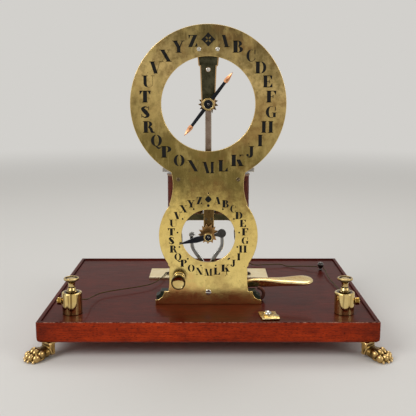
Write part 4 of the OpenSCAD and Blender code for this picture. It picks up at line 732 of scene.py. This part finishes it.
# Reset button: turned brass, its polished face dished for the finger inside a rounded rim. Its shank slides
# in a brass bush and is stopped behind the plate by a collar.
def turned(profile, centre, axis, around=72, flute=None):
    """A turned form: profile rows are radius and distance along the axis from centre, swept round it at even
    angles. Where flute is given, its rows are how far the radius dips, as depth * |sin(count * a / 2)|."""
    rows = np.array(profile, float)
    a = np.linspace(0, 2 * np.pi, around, endpoint=False)
    r = rows[:, :1] + np.zeros(around)
    if flute is not None:
        r = r - np.outer(flute[0], np.abs(np.sin(flute[1] * a / 2)))
    x, y, h = r * np.cos(a), r * np.sin(a), rows[:, 1:] + np.zeros(around)
    order = {"x": (h, x, y), "y": (x, h, y), "z": (x, y, h)}[axis]
    return patch(np.stack(order, -1) + centre, ring=True, down=reach(rows))


def dark_polish_and_shade(mesh, centre, axis, lines):
    """Turned lines darkened by old polish and painted shade. A line is a radius, a place along the axis,
    a reach in mm and a strength, and each vertex takes the most that strength * exp(-(distance / reach)^2)
    gives it."""
    p, n = read(mesh.vertices, "co") * 1e3 - centre, "xyz".index(axis)
    r, h = np.linalg.norm(np.delete(p, n, 1), axis=1), p[:, n]
    dark = [most * np.exp(-((r - r0) ** 2 + (h - h0) ** 2) / wide ** 2) for r0, h0, wide, most in lines]
    shade(mesh, "hollow", np.max(dark, axis=0))
    return mesh


# turned and polished brass: a pale yellow mirror, black in the corners with old polish and painted shade
polished = metal("brass_turned_polished", "#f0d898", "#e2c27a", "#2e1f0c", (0.06, 0.18), 16, 0.06, "#f7e6b4")
button_at, dish_r = (-32, 0, 68.4), 14.75
dish = np.radians(np.linspace(0, 24, 12))
dished = np.stack([dish_r * np.sin(dish), -89.33 - dish_r * (1 - np.cos(dish))], 1)
knob = eased_line([(6, -90.6), (6.6, -90.95), (7.3, -90.7), (7.7, -89.8), (7.7, -84), (4.6, -84), (4.6, -82),
                   (3, -82), (3, -67.1), (4.6, -67.1), (4.6, -65.5), (0, -65.5)],
                  [0.3, 0.3, 0.4, 1.2, 0.4, 0.3, 0.3, 0.2, 0.2, 0.3])
knob = turned(np.concatenate([dished[:-1], knob]), button_at, "y")
# painted shade and reflection: dark rings round the face's rim, down the flank and at the neck
push = dark_polish_and_shade(mesh_of("reset_button_turned", [knob], polished), button_at, "y",
             ((6, -90.6, 0.25, 0.7), (7.25, -90.55, 0.75, 3), (7.7, -89.5, 0.8, 2), (7.7, -87.2, 2, 0.7),
              (7.7, -84.4, 1.2, 3), (4.6, -83, 2.5, 1)))
place("reset_button_turned", push, "button", ["reset_button"])
eased("button_bush", 0.25, polished)


# Upper cock: a tapering brass finger screwed behind the top of the ring, bronzed dark and filed to bright
# bevels. It carries the receiving hand, and the keeper in which the stem slides.
# bronzed brass: dark olive with a satin sheen, and warm bright metal along the filed bevels
bronzed = metal("brass_bronzed_dark", "#4e4830", "#3a3728", "#1b170e", (0.22, 0.45), 7, 0.4, "#d6ab70")
finger = metal("brass_finger_olive", "#55513d", "#2d2b1c", "#15120a", (0.2, 0.42), 8, 0.5, "#cda878")
eased("upper_cock", 1.15, finger, 1)
eased("stem_guide", 0.3, bronzed)
held = eased("cock_screws", 0.3, bright_steel, 3).data
held.materials.append(browned_screw)
by_lower_dial = read(held.polygons, "center")[:, 2] < 0.2
held.polygons.foreach_set("material_index", by_lower_dial.astype(int))


# Receiving hand: a blued steel arbor in a brass collet, with a black pointer filed to a ridge, its two ends
# pierced lances of gilt copper, and a brass ratchet wheel browned by age. The arbor's end is a bright pip.
# blued steel: blue-black with grey edges; gilt copper: a soft pink gold; aged brass: browns with bright rims
blued = metal("steel_blued_black", "#2a2b30", "#1f2023", "#0e0e0e", (0.14, 0.36), 6, 0.3, "#6a6c72")
copper = metal("copper_gilt", "#e6a87c", "#d08f62", "#3a1c10", (0.26, 0.46), 4, 0.35, "#f3c39c")
brown_wheel = metal("brass_wheel_dark", "#5c4524", "#45341b", "#21170a", (0.25, 0.5), 5, 0.4, "#96753f")
collar = metal("brass_collet_aged", "#c2a66a", "#94794a", "#35270f", (0.14, 0.34), 3, 0.5, "#e8d49c")
hand_turn = 37.6
hand_cos, hand_sin = math.cos(math.radians(hand_turn)), math.sin(math.radians(hand_turn))


def blade(rows, turn, edge, rise, back):
    """A filed blade in the dial's plane: rows are distance from the arbor and half width w, laid out at turn
    degrees. In front it rises to a ridge, y = edge - rise * (1 - |across| / w), and behind it is flat."""
    s, w = np.array(rows, float).T[:, :, None]
    u = np.linspace(-1, 1, 9)
    across, y = w * np.r_[u, u[::-1]], np.r_[edge - rise * (1 - np.abs(u)), np.full(9, back)] + 0 * s
    c, n = math.cos(math.radians(turn)), math.sin(math.radians(turn))
    return patch(np.stack([s * n + across * c, y, up_z + s * c - across * n], -1), ring=True)


def filed(name, patches, material, node):
    """Places blades with flat facets, dark where a tip is pierced near its root, 31.8 mm from the arbor."""
    mesh = mesh_of(name, patches, material)
    mesh.polygons.foreach_set("use_smooth", np.zeros(len(mesh.polygons), bool))
    x, y, z = read(mesh.vertices, "co").T * 1e3
    along = np.abs(x * hand_sin + (z - up_z) * hand_cos)
    across = x * hand_cos - (z - up_z) * hand_sin
    shade(mesh, "hollow", np.exp(-((along - 31.8) / 1.3) ** 2 - (across / 0.9) ** 2))
    return place(name, mesh, "upper_hand", [node])


arm = [(5, 0), (5, 2), (12, 1.9), (20, 1.75), (28.7, 1.6), (28.7, 0)]
lance = [(28.7, 0), (28.7, 1.75), (29.1, 2.2), (30, 2.4), (31, 2.45), (32.2, 2.4), (33.5, 2.25), (35, 1.98),
         (37, 1.5), (39, 0.93), (40.8, 0.38), (41.9, 0.06), (42, 0)]
hub = turned([(1.65, -69), (6, -69), (6, -67.5), (1.65, -67.5), (1.65, -69)], (0, 0, up_z), "y")
arms = [blade(arm, hand_turn + k, -68.6, 0.5, -67.5) for k in (0, 180)]
tips = [blade(lance, hand_turn + k, -68.5, 0.6, -67.5) for k in (0, 180)]
filed("upper_pointer_filed", arms + [hub], blued, "upper_pointer")
filed("pointer_tips_filed", tips, copper, "pointer_tips")
eased("upper_arbor", 0.15, blued)
eased("upper_collet", 0.3, collar)
eased("upper_ratchet", 0.12, brown_wheel)
pip = eased_line([(0, -0.5), (0.8, -0.45), (1.25, 0), (1.25, 0.3), (0, 0.3)], [0.3, 0.2, 0.1])
for name, z, y, body in (("upper_arbor_pip", up_z, -72.2, "upper_hand"),
                         ("lower_arbor_pip", low_z, -77.2, "lower_hand")):
    piece(name, [turned(pip, (0, y, z), "y", 32)], bright_steel, body)


# Electromagnet: a brass bracket with a shelf behind the plate's waist, a soft iron yoke, and two iron cores
# screwed through it. Brass and iron are filed flat and left dull.
# filed soft iron: a cool mid grey with a grain of file strokes and rusty specks
iron = metal("iron_soft_filed", "#b9b6b0", "#96918a", "#4a4037", (0.26, 0.5), 7, 0.4, "#dedad2", (1, 1, 0.1))
eased("magnet_bracket", 0.4, bronzed)
eased("yoke", 0.5, iron)
eased("magnet_cores", 0.4, iron)
eased("magnet_screws", 0.3, bright_steel)


# Bobbins: boxwood turned on the lathe, varnished, with a cheek at each end. The fine grain, 1 mm wide, runs
# along the axis.
# varnished boxwood: a warm brown with darker stains under a soft gloss
boxwood, tree, shader, at = finish("boxwood_varnished", {"Coat Weight": 0.5, "Coat Roughness": 0.16,
                                                         "Specular IOR Level": 0.4})
fibre = put(tree, "Mapping", {"Vector": at, "Scale": (900, 900, 50)})
fibre = put(tree, "TexNoise", {"Vector": fibre, "Scale": 1.0, "Detail": 4})
stain = put(tree, "TexNoise", {"Vector": at, "Scale": 1000 / 9, "Detail": 4})
stain = put(tree, "MapRange", {"Value": stain, "From Min": 0.45, "From Max": 0.75, "To Max": 0.6})
layers = ((fibre, "#6e4626"), (stain, "#3d2413"))
dress(shader, "#8e5f36", layers, (fibre, 0.35, 0.55), (fibre, 0.2, 0.00005))
eased("bobbin_left", 0.5, boxwood)
eased("bobbin_right", 0.5, boxwood)


# Windings: copper wire lapped with dark red silk, 36 turns side by side on each bobbin and wound opposite
# ways, shellacked so that the silk has darkened.
def silk(name, pale, dark, worn_to, lap):
    """Silk lapped round a wire: slanting threads lap mm apart, drawn coarser than the real 0.2 mm to show,
    with worn patches along the wire."""
    made, tree, shader, at = finish(name, {"Sheen Weight": 0.02, "Sheen Roughness": 0.4,
                                           "Specular IOR Level": 0.12})
    uv = put(tree, "Mapping", {"Vector": put(tree, "UVMap", uv_map="lay"), "Scale": (1, 1 / lap, 1)})
    lapped = put(tree, "TexWave", {"Vector": uv, "Scale": math.pi / 5, "Distortion": 0}, out="Fac",
                 bands_direction="DIAGONAL")
    patchy = put(tree, "TexNoise", {"Vector": at, "Scale": 1000 / 6, "Detail": 5})
    rubbed = put(tree, "MapRange", {"Value": patchy, "From Min": 0.5, "From Max": 0.72, "To Max": 0.75})
    dress(shader, dark, ((lapped, pale), (rubbed, worn_to)), (patchy, 0.4, 0.7), (lapped, 0.35, 0.00008))
    return made


def swept(line, radii, ref, sides=8):
    """A tube along a line: at each point a circle, or an ellipse of two radii, set square to the line's
    direction d, with its first axis along d x ref. The ends close to points."""
    d = np.gradient(line, axis=0)
    d /= np.linalg.norm(d, axis=1)[:, None]
    first = np.cross(d, ref)
    first /= np.linalg.norm(first, axis=1)[:, None]
    a = np.linspace(0, 2 * np.pi, sides, endpoint=False)[:, None]
    wide, tall = np.ravel(radii)[[0, -1]]
    ring = first[:, None] * np.cos(a) * wide + np.cross(first, d)[:, None] * np.sin(a) * tall
    start, end = np.repeat(line[:1, None], sides, 1), np.repeat(line[-1:, None], sides, 1)
    far = reach(line)
    return patch(np.concatenate([start, line[:, None] + ring, end]), ring=True, down=np.r_[0, far, far[-1]])


# shellacked red silk: a dark brick red, ribbed and nearly matt, worn to brown in patches
red_silk = silk("silk_lapped_wire_red", "#783526", "#441a10", "#2c130b", 1.6)
coil_x, coil_y, wind_low, wind_high = 25.7, -42.0, 139.0, 178.2
turns, wire_r, wind_r = 36, 0.53, 18.82
a = np.linspace(0, turns * 2 * np.pi, turns * 40 + 1)
rise = wind_low + wire_r + a / a[-1] * (wind_high - wind_low - 2 * wire_r)
below = [(11.5, wind_low), (18.4, wind_low), (18.4, wind_high), (11.5, wind_high), (11.5, wind_low)]
for side, name in ((-1, "left"), (1, "right")):
    line = np.stack([side * (coil_x + wind_r * np.cos(a)), coil_y + wind_r * np.sin(a), rise], 1)
    layer = turned(below, (side * coil_x, coil_y, 0), "z", 48)
    piece(f"winding_{name}_wire", [swept(line, wire_r, (0, 0, 1), 6), layer], red_silk, "frame",
          ["winding_" + name])


# Armature: a soft iron bar over the cores, held up by a steel spring on its guide pin. Its flat steel stem,
# browned, rises through the plate's hole, and two wedge pallets step the wheel.
# browned steel: a grey-brown satin drawn along the stem, with bright edges
browned = metal("steel_browned", "#9a8778", "#7d6757", "#3a2b20", (0.22, 0.42), 8, 0.3, "#d9d3c9",
                (1, 1, 0.05))
eased("armature_bar", 0.5, iron)
eased("armature_stem", 0.6, browned, 1)
eased("stem_pallets", 0.2, bright_steel)
eased("armature_guide", 0.2, bright_steel)
turns, spring_r, spring_low, spring_high = 10, 3.4, 137.35, 182.05
k = np.linspace(0, 1, turns * 36 + 1)
rise = np.interp(k, [0, 0.1, 0.9, 1], [0, 0.022, 0.978, 1])
a = 2 * turns * np.pi * k
line = np.stack([spring_r * np.cos(a), coil_y + spring_r * np.sin(a),
                 spring_low + rise * (spring_high - spring_low)], 1)
coil_spring = piece("armature_spring_coiled", [swept(line, 0.5, (0, 0, 1))], bright_steel, "frame",
                    ["armature_spring"])
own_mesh(coil_spring)


# Sending hand: the lower cock is a brass strip hanging across the hole, browned by age. It carries an arbor
# with a black leaf pointer, a brass collet and a coarse ratchet wheel.
# browned brass: tobacco brown with worn gold edges on the strip, a paler warm brown on the wheel
strip = metal("brass_strip_browned", "#6f5630", "#544025", "#261b0c", (0.22, 0.45), 8, 0.35, "#d8b678")
wheel = metal("brass_wheel_browned", "#bb8f57", "#a0774a", "#55391d", (0.25, 0.5), 5, 0.3, "#dcb582")
eased("lower_cock", 0.6, strip, 1)
eased("lower_arbor", 0.15, blued)
eased("lower_collet", 0.25, collar)
eased("lower_pointer", 0.2, blued)
eased("lower_ratchet", 0.15, wheel)


# Rocker: a forged steel anchor on an arbor behind the foot block, with a pallet pinned to each bowed arm. A
# brass cock holds the back pivot.
# forged steel: a blotched mid grey; hardened steel: a darker, even grey with a dull shine
forged = metal("steel_forged_grey", "#8b8986", "#5e5c59", "#1f1d1a", (0.2, 0.42), 9, 0.6, "#c9c7c3")
dark_steel = metal("steel_hardened_dark", "#4d4b49", "#393735", "#1a1918", (0.2, 0.4), 5, 0.4, "#83817e")
eased("rocker_cock", 0.4, bronzed)
eased("rocker_arbor", 0.2, bright_steel)
eased("anchor", 0.6, forged)
eased("anchor_pallets", 0.3, dark_steel)
eased("deck_screws", 0.35, browned_screw)


# Hand lever: forged brass, flat behind the plate and spread into a domed round paddle, tipped a little to
# the front, that the hand presses. It is pinned on the rocker's arbor through its boss.
lever_y = -53.0
# along x, each station is a height, a breadth, a depth and a step to the back, all in mm
stations = np.array([(2.4, 72.9, 4, 11.4, 0), (16, 65.8, 4, 11.3, 0), (27, 60, 4, 10.8, 0),
                     (33, 57.6, 4, 8.8, 0), (40, 57.4, 4, 8.4, 0), (46, 57.6, 4.3, 8.8, 0.6),
                     (52, 57.9, 5.2, 9.3, 1.6), (60, 58, 6.5, 9.3, 2.2), (66, 58.2, 7.9, 8.7, 1.9),
                     (72, 58.7, 9.7, 7.9, 1.1), (78.2, 59.1, 11.8, 7, 0.4), (86, 59.6, 15, 6.3, 0),
                     (95, 60.2, 18.8, 5.6, 0), (102, 60.6, 21.4, 5, 0), (106, 60.7, 22, 4.7, 0),
                     (110, 60.8, 20.6, 4.4, 0), (113.4, 60.9, 16.4, 3.8, 0), (115.7, 60.9, 10.6, 2.9, 0),
                     (116.8, 60.8, 4.6, 1.6, 0), (117, 60.8, 0.05, 0.05, 0)])
run = np.concatenate([[[2.4, 72.9, 0.01, 0.01, 0]], route(stations, 5)])
x, z, breadth, depth, aside = run.T[:, :, None]
a = np.linspace(0, 2 * np.pi, 40, endpoint=False)
# the section is |across|^p + |up|^p = 1, nearly square at the root and rounder along the paddle
square = 2 / np.interp(x, [60, 80, 104, 117], [7, 4.2, 3.6, 2.4])
across, up = bent(np.cos(a), square) * breadth / 2, bent(np.sin(a), square) * depth / 2
twist = np.radians(np.interp(x, [40, 48, 66, 86], [0, 13, 13, 9]))
loft = np.stack([x + 0 * across, lever_y + aside + across * np.cos(twist) - up * np.sin(twist),
                 z + across * np.sin(twist) + up * np.cos(twist)], -1)
boss = eased_line([(1.56, -53), (1.56, -55), (6, -55), (6, -51), (1.56, -51), (1.56, -53)],
                  [0.1, 0.4, 0.4, 0.1])
boss = turned(boss, (0, 0, 74), "y", 48)
# forged brass, handled: a creamy gold with soft blurred lights and brown blotches
lever_brass = metal("brass_forged_handled", "#ead49c", "#d0ac70", "#5a3d1c", (0.14, 0.32), 14, 0.45)
piece("hand_lever_forged", [patch(loft, ring=True), boss], lever_brass, "rocker", ["hand_lever"])


# Lever spring: a strip of hard brass bent to a half circle, screwed to the board at its foot. It lifts the
# lever, and flattens under it.
# hard brass strip: a dull red-brown that lies close to the wood's colour
red_brown = metal("brass_spring_red_brown", "#82594c", "#694339", "#3a2018", (0.35, 0.55), 5, 0.3, "#95705f")
bend_x, bend_z, bend_r = 55, 45.4, 6.98
a = np.linspace(-np.pi / 2, np.pi / 2, 40)
x = np.r_[np.linspace(46.4, bend_x - 0.2, 14), bend_x + bend_r * np.cos(a)]
z = np.r_[np.full(14, bend_z - bend_r), bend_z + bend_r * np.sin(a)]
line = np.stack([x, np.full(len(x), lever_y), z], 1)
leaf = piece("lever_spring_bent", [swept(line, (1.95, 0.4), (0, 1, 0.0001), 16)], red_brown, "frame",
             ["lever_spring"])
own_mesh(leaf)


# Bed plate: a sheet of pale scoured brass behind the face plate, held by two dark dome screws, one of which
# takes the left wires. Two brass stays rise from it to the magnet's bracket.
# scoured brass: a chalky straw colour brushed one way; dull strip: plain yellow; dark steel: a black gloss
scoured = metal("brass_sheet_scoured", "#e2d4b0", "#d2be92", "#80694a", (0.42, 0.6), 22, 0.2, "#efe3c4",
                (0.5, 0.02, 0.5))
stay_brass = metal("brass_strip_dull", "#b89a56", "#967a3f", "#4d3b1a", (0.24, 0.45), 14, 0.3, "#dcc48a",
                   (1, 1, 0.06))
domed = metal("steel_dome_dark_polished", "#3d3631", "#2a2521", "#0f0c09", (0.05, 0.2), 5, 0.35, "#6d665e")
eased("bed_plate", 0.35, scoured)
eased("bed_screws", 0.3, domed)
eased("rear_stays", 0.4, stay_brass)


# Binding posts: turned from brass bar and polished, with a rounded shoulder and a small stepped collar. Old
# polish and painted shade are dark in the corners, and screws from the side clamp the wires.
post_x, post_y, wire_z = 144, -98.5, 51
column = eased_line([(0, 27.5), (4, 27.5), (4, 38), (10.5, 38), (10.5, 38.8), (10.5, 61.4), (6.4, 61.4),
                     (6.4, 62.6), (4.8, 63.3), (3.9, 66), (2.56, 66), (2.56, 54.4), (0, 54.4)],
                    [0.3, 0.2, 0.2, 0.2, 1.5, 0.2, 0.4, 0.6, 0.2, 0.2, 0.3])
# polished brass: a pale yellow mirror with painted reflections in soft brown streaks, 3 mm wide, down its
# sides
post_brass = metal("brass_post_painted_reflection", "#f0d898", "#e2c27a", "#2e1f0c", (0.06, 0.18), 16, 0.06,
                   "#f7e6b4")
tree, shader = post_brass.node_tree, post_brass.node_tree.nodes["Principled BSDF"]
at = put(tree, "TexCoord", out="Object")
# painted reflection: upright brown streaks stand for the dark bands that a polished post mirrors
reflection_streak = put(tree, "Mapping", {"Vector": at, "Scale": (1000 / 3.2, 1000 / 3.2, 1000 / 80)})
reflection_streak = put(tree, "TexNoise", {"Vector": reflection_streak, "Scale": 1.0, "Detail": 2})
reflection_streak = put(tree, "MapRange", {"Value": reflection_streak, "From Min": 0.5, "From Max": 0.62, "To Max": 0.7})
dress(shader, shader.inputs["Base Color"].links[0].from_socket, [(reflection_streak, "#5a3a14")])
for side, name in ((-1, "left"), (1, "right")):
    post, centre = f"post_{name}_turned", (side * post_x, post_y, 0)
    blank = place("post_blank", mesh_of(post, [turned(column, centre, "z", 128)], post_brass))
    hole = [(0, side * 3.9), (1.66, side * 3.9), (1.66, side * 12), (0, side * 12)]
    drill = piece("drill", [turned(hole, (side * post_x, post_y, wire_z), "x", 32)], post_brass)
    bore = blank.modifiers.new("clamp_hole", "BOOLEAN")
    bore.operation, bore.object, bore.solver = "DIFFERENCE", drill, "EXACT"
    # painted shade: dark rings in the corners at the post's foot, the shoulder and the collar
    dark_lines = ((10.5, 38, 0.6, 1.5), (6.4, 61.4, 1.2, 2), (4.8, 63.2, 0.8, 0.8))
    drilled = dark_polish_and_shade(solved(blank), centre, "z", dark_lines)
    bpy.data.objects.remove(drill)
    place(post, drilled, "frame", ["post_" + name])
# aged brass: a brownish gold with bright worn edges
clamp_brass = metal("brass_screw_aged", "#a8823a", "#7f5e29", "#2c1d0a", (0.16, 0.36), 5, 0.35, "#e9cd8a")
eased("clamp_screw_left", 0.4, clamp_brass, 3)
eased("clamp_screw_right", 0.4, clamp_brass, 3)


# Thumbscrews: turned brass, a thin neck that opens like a trumpet into a dished head with a finely milled
# rim. Each screws down into its post on the wire.
top = eased_line([(0, 55.5), (2.3, 55.5), (2.3, 66.1), (3.8, 66.1), (3.35, 68.6), (3.6, 71), (4.8, 72.9),
                  (6.6, 74), (7.7, 74.4), (8.05, 75), (8.05, 76.3), (7.5, 76.95), (6.7, 76.9), (6, 76),
                  (4.9, 75.7), (4.1, 76.1), (2.4, 76.4), (0, 76.5)],
                 [0.3, 0.2, 0.2, 1, 1, 0.9, 0.6, 0.4, 0.3, 0.4, 0.4, 0.3, 0.4, 0.4, 0.4, 0.6])
# turned brass, handled: a greyer gold than the posts, shiny, and black with painted shade in the dish and
# under the rim
thumb_brass = metal("brass_thumbscrew_aged", "#e0c88f", "#bfa066", "#2a1c0c", (0.08, 0.24), 6, 0.3, "#f2dfb2")
milled = np.where((top[:, 0] > 7.9) & (top[:, 1] > 74.8) & (top[:, 1] < 76.6), 0.14, 0.0)
for side, name in ((-1, "left"), (1, "right")):
    screw, centre = "thumbscrew_turned_" + name, (side * post_x, post_y, 0)
    mesh = mesh_of(screw, [turned(top, centre, "z", 192, (milled, 48))], thumb_brass)
    # painted shade and reflection: dark rings in the dish, at the neck, under the head and under the rim
    dark_lines = ((5.7, 75.8, 0.9, 2), (3.7, 66, 0.8, 2), (5.6, 73.3, 1.8, 1.4), (8, 74.6, 0.5, 1.6))
    place(screw, dark_polish_and_shade(mesh, centre, "z", dark_lines), name + "_thumbscrew", ["thumbscrew_" + name])


# Catch: a small brass plate that turns on a dome-headed steel screw at the board's front edge, with a bar
# for the finger soldered on its step. The plate is dark round the screw.
# aged plate brass: a bright yellow gloss that turns brown-black close to the screw
aged = metal("brass_plate_aged", "#ecd08a", "#cda961", "#5c4620", (0.14, 0.34), 7, 0.35, "#f8e6ae")
catch_x, catch_y, catch_turn = 62.4, -105.5, math.radians(5)
tree, shader = aged.node_tree, aged.node_tree.nodes["Principled BSDF"]
at = put(tree, "TexCoord", out="Object")
near = put(tree, "VectorMath", {0: at, 1: (catch_x * 1e-3, catch_y * 1e-3, 0.042)}, out="Value",
           operation="DISTANCE")
near = put(tree, "MapRange", {"Value": near, "From Min": 0.003, "From Max": 0.0075, "To Min": 0.85,
                              "To Max": 0.0})
dress(shader, shader.inputs["Base Color"].links[0].from_socket, [(near, "#3a2a12")])
eased("catch_plate", 0.4, aged)
eased("catch_screw", 0.2, bright_steel)
section = eased_line([(-17, 40.9), (-20.6, 41), (-19.3, 43.1), (-14.2, 43.1), (-13.2, 41), (-17, 40.9)],
                     [0.2, 0.6, 0.6, 0.2])
y, x = np.meshgrid(section[:, 0], [-6.4, -6.4, 8.7, 8.7], indexing="ij")
middle_z = np.full(len(section), 42.0)
z = np.stack([middle_z, section[:, 1], section[:, 1], middle_z], 1)
c, s = math.cos(catch_turn), math.sin(catch_turn)
bar_grid = np.stack([x * c - y * s + catch_x, x * s + y * c + catch_y, z], -1)
piece("catch_finger_bar", [patch(bar_grid)], aged, "catch")


# Wire pin: a dark steel pin with a round ball, driven into the board. The right wire is turned round it.
# polished dark steel: a black ball with a small sharp light
ball_steel = metal("steel_ball_polished", "#3d3631", "#2a2521", "#0f0c09", (0.03, 0.1), 5, 0.35)
ball_steel.node_tree.nodes["Principled BSDF"].inputs["Coat Weight"].default_value = 1.0
ball_r, ball_z = 4, 45
a = np.linspace(-1.05, np.pi / 2, 24)[4:]
pin = np.concatenate([[(0, 30), (1, 31), (1, 38), (2, 38), (2, 39.2), (1.1, 39.4)],
                      np.stack([ball_r * np.cos(a), ball_z + ball_r * np.sin(a)], 1)])
piece("wire_pin_turned", [turned(pin, (146, 76, 0), "z", 48)], ball_steel, "frame", ["wire_pin"])


# Board screws: common iron wood screws up through the paws' flanges, hardly seen.
for slotted in frame["nodes"]["wood_screws"].material_slots:
    slotted.material = iron


# Wires: thin copper lapped with olive silk, one from each post and one to each coil. The post wires lie loose
# on the board and wind round the bed screw and the pin; the coil leads rise behind the plate.
# olive silk: a dark matt thread, ribbed aslant and browner where it is worn
green_silk = silk("silk_lapped_wire_olive", "#5c4c1c", "#352a10", "#1f170a", 1.8)


def loop(cx, cy, r, a0, a1, z0, z1, count):
    """Points on part of a turn round a screw or pin, from angle a0 to a1 and height z0 to z1."""
    a = np.radians(np.linspace(a0, a1, count))
    return np.stack([cx + r * np.cos(a), cy + r * np.sin(a), np.linspace(z0, z1, count)], 1).tolist()


# each wire: its route, its stiffness, how it lies, and a direction in which it never runs
wires = {
    "wire_left_post": ([[-136, -92, 51], [-131.5, -82, 48], [-130, -62, 44], [-123, -40, 42], [-107, -28, 42],
                        [-87, -17, 42], [-70, -4, 42], [-61, 14, 42], [-56, 34, 42]]
                       + loop(-50, 48, 4.5, 190, 48, 41.8, 41.1, 7), "limp", "loose", (0, 0, 1)),
    "wire_left_coil": ([[-46, 50, 42], [-40, 54, 47], [-34, 40, 70], [-32, 8, 100], [-36, -16, 126],
                        [-37, -22, 140], [-33, -23, 146]], "stiff", "taut", (1, 0.2, 0.1)),
    "wire_right_post": ([[145, -90, 51], [147, -80, 49], [150, -60, 44], [153, -34, 41], [153, -14, 40],
                         [151, 8, 40], [149, 34, 41], [149.4, 58, 42]]
                        + loop(146, 76, 3.6, -20, 150, 42, 41, 8), "limp", "loose", (0, 0, 1)),
    "wire_right_coil": ([[142, 77, 42.4], [123, 85, 41], [105, 92, 39], [95, 95, 41], [76, 93, 41],
                         [57, 96, 41], [40, 84, 60], [32, 40, 96], [36, -6, 126], [37, -20, 140],
                         [33, -23, 146]],
                        "stiff", "taut", (0.1, 0.3, 1)),
}
for name, (points, stiffness, lay, ref) in wires.items():
    line = route(points, 8)
    lead = piece(name + "_silk", [swept(line, 0.6, ref)], green_silk, "frame", [name])
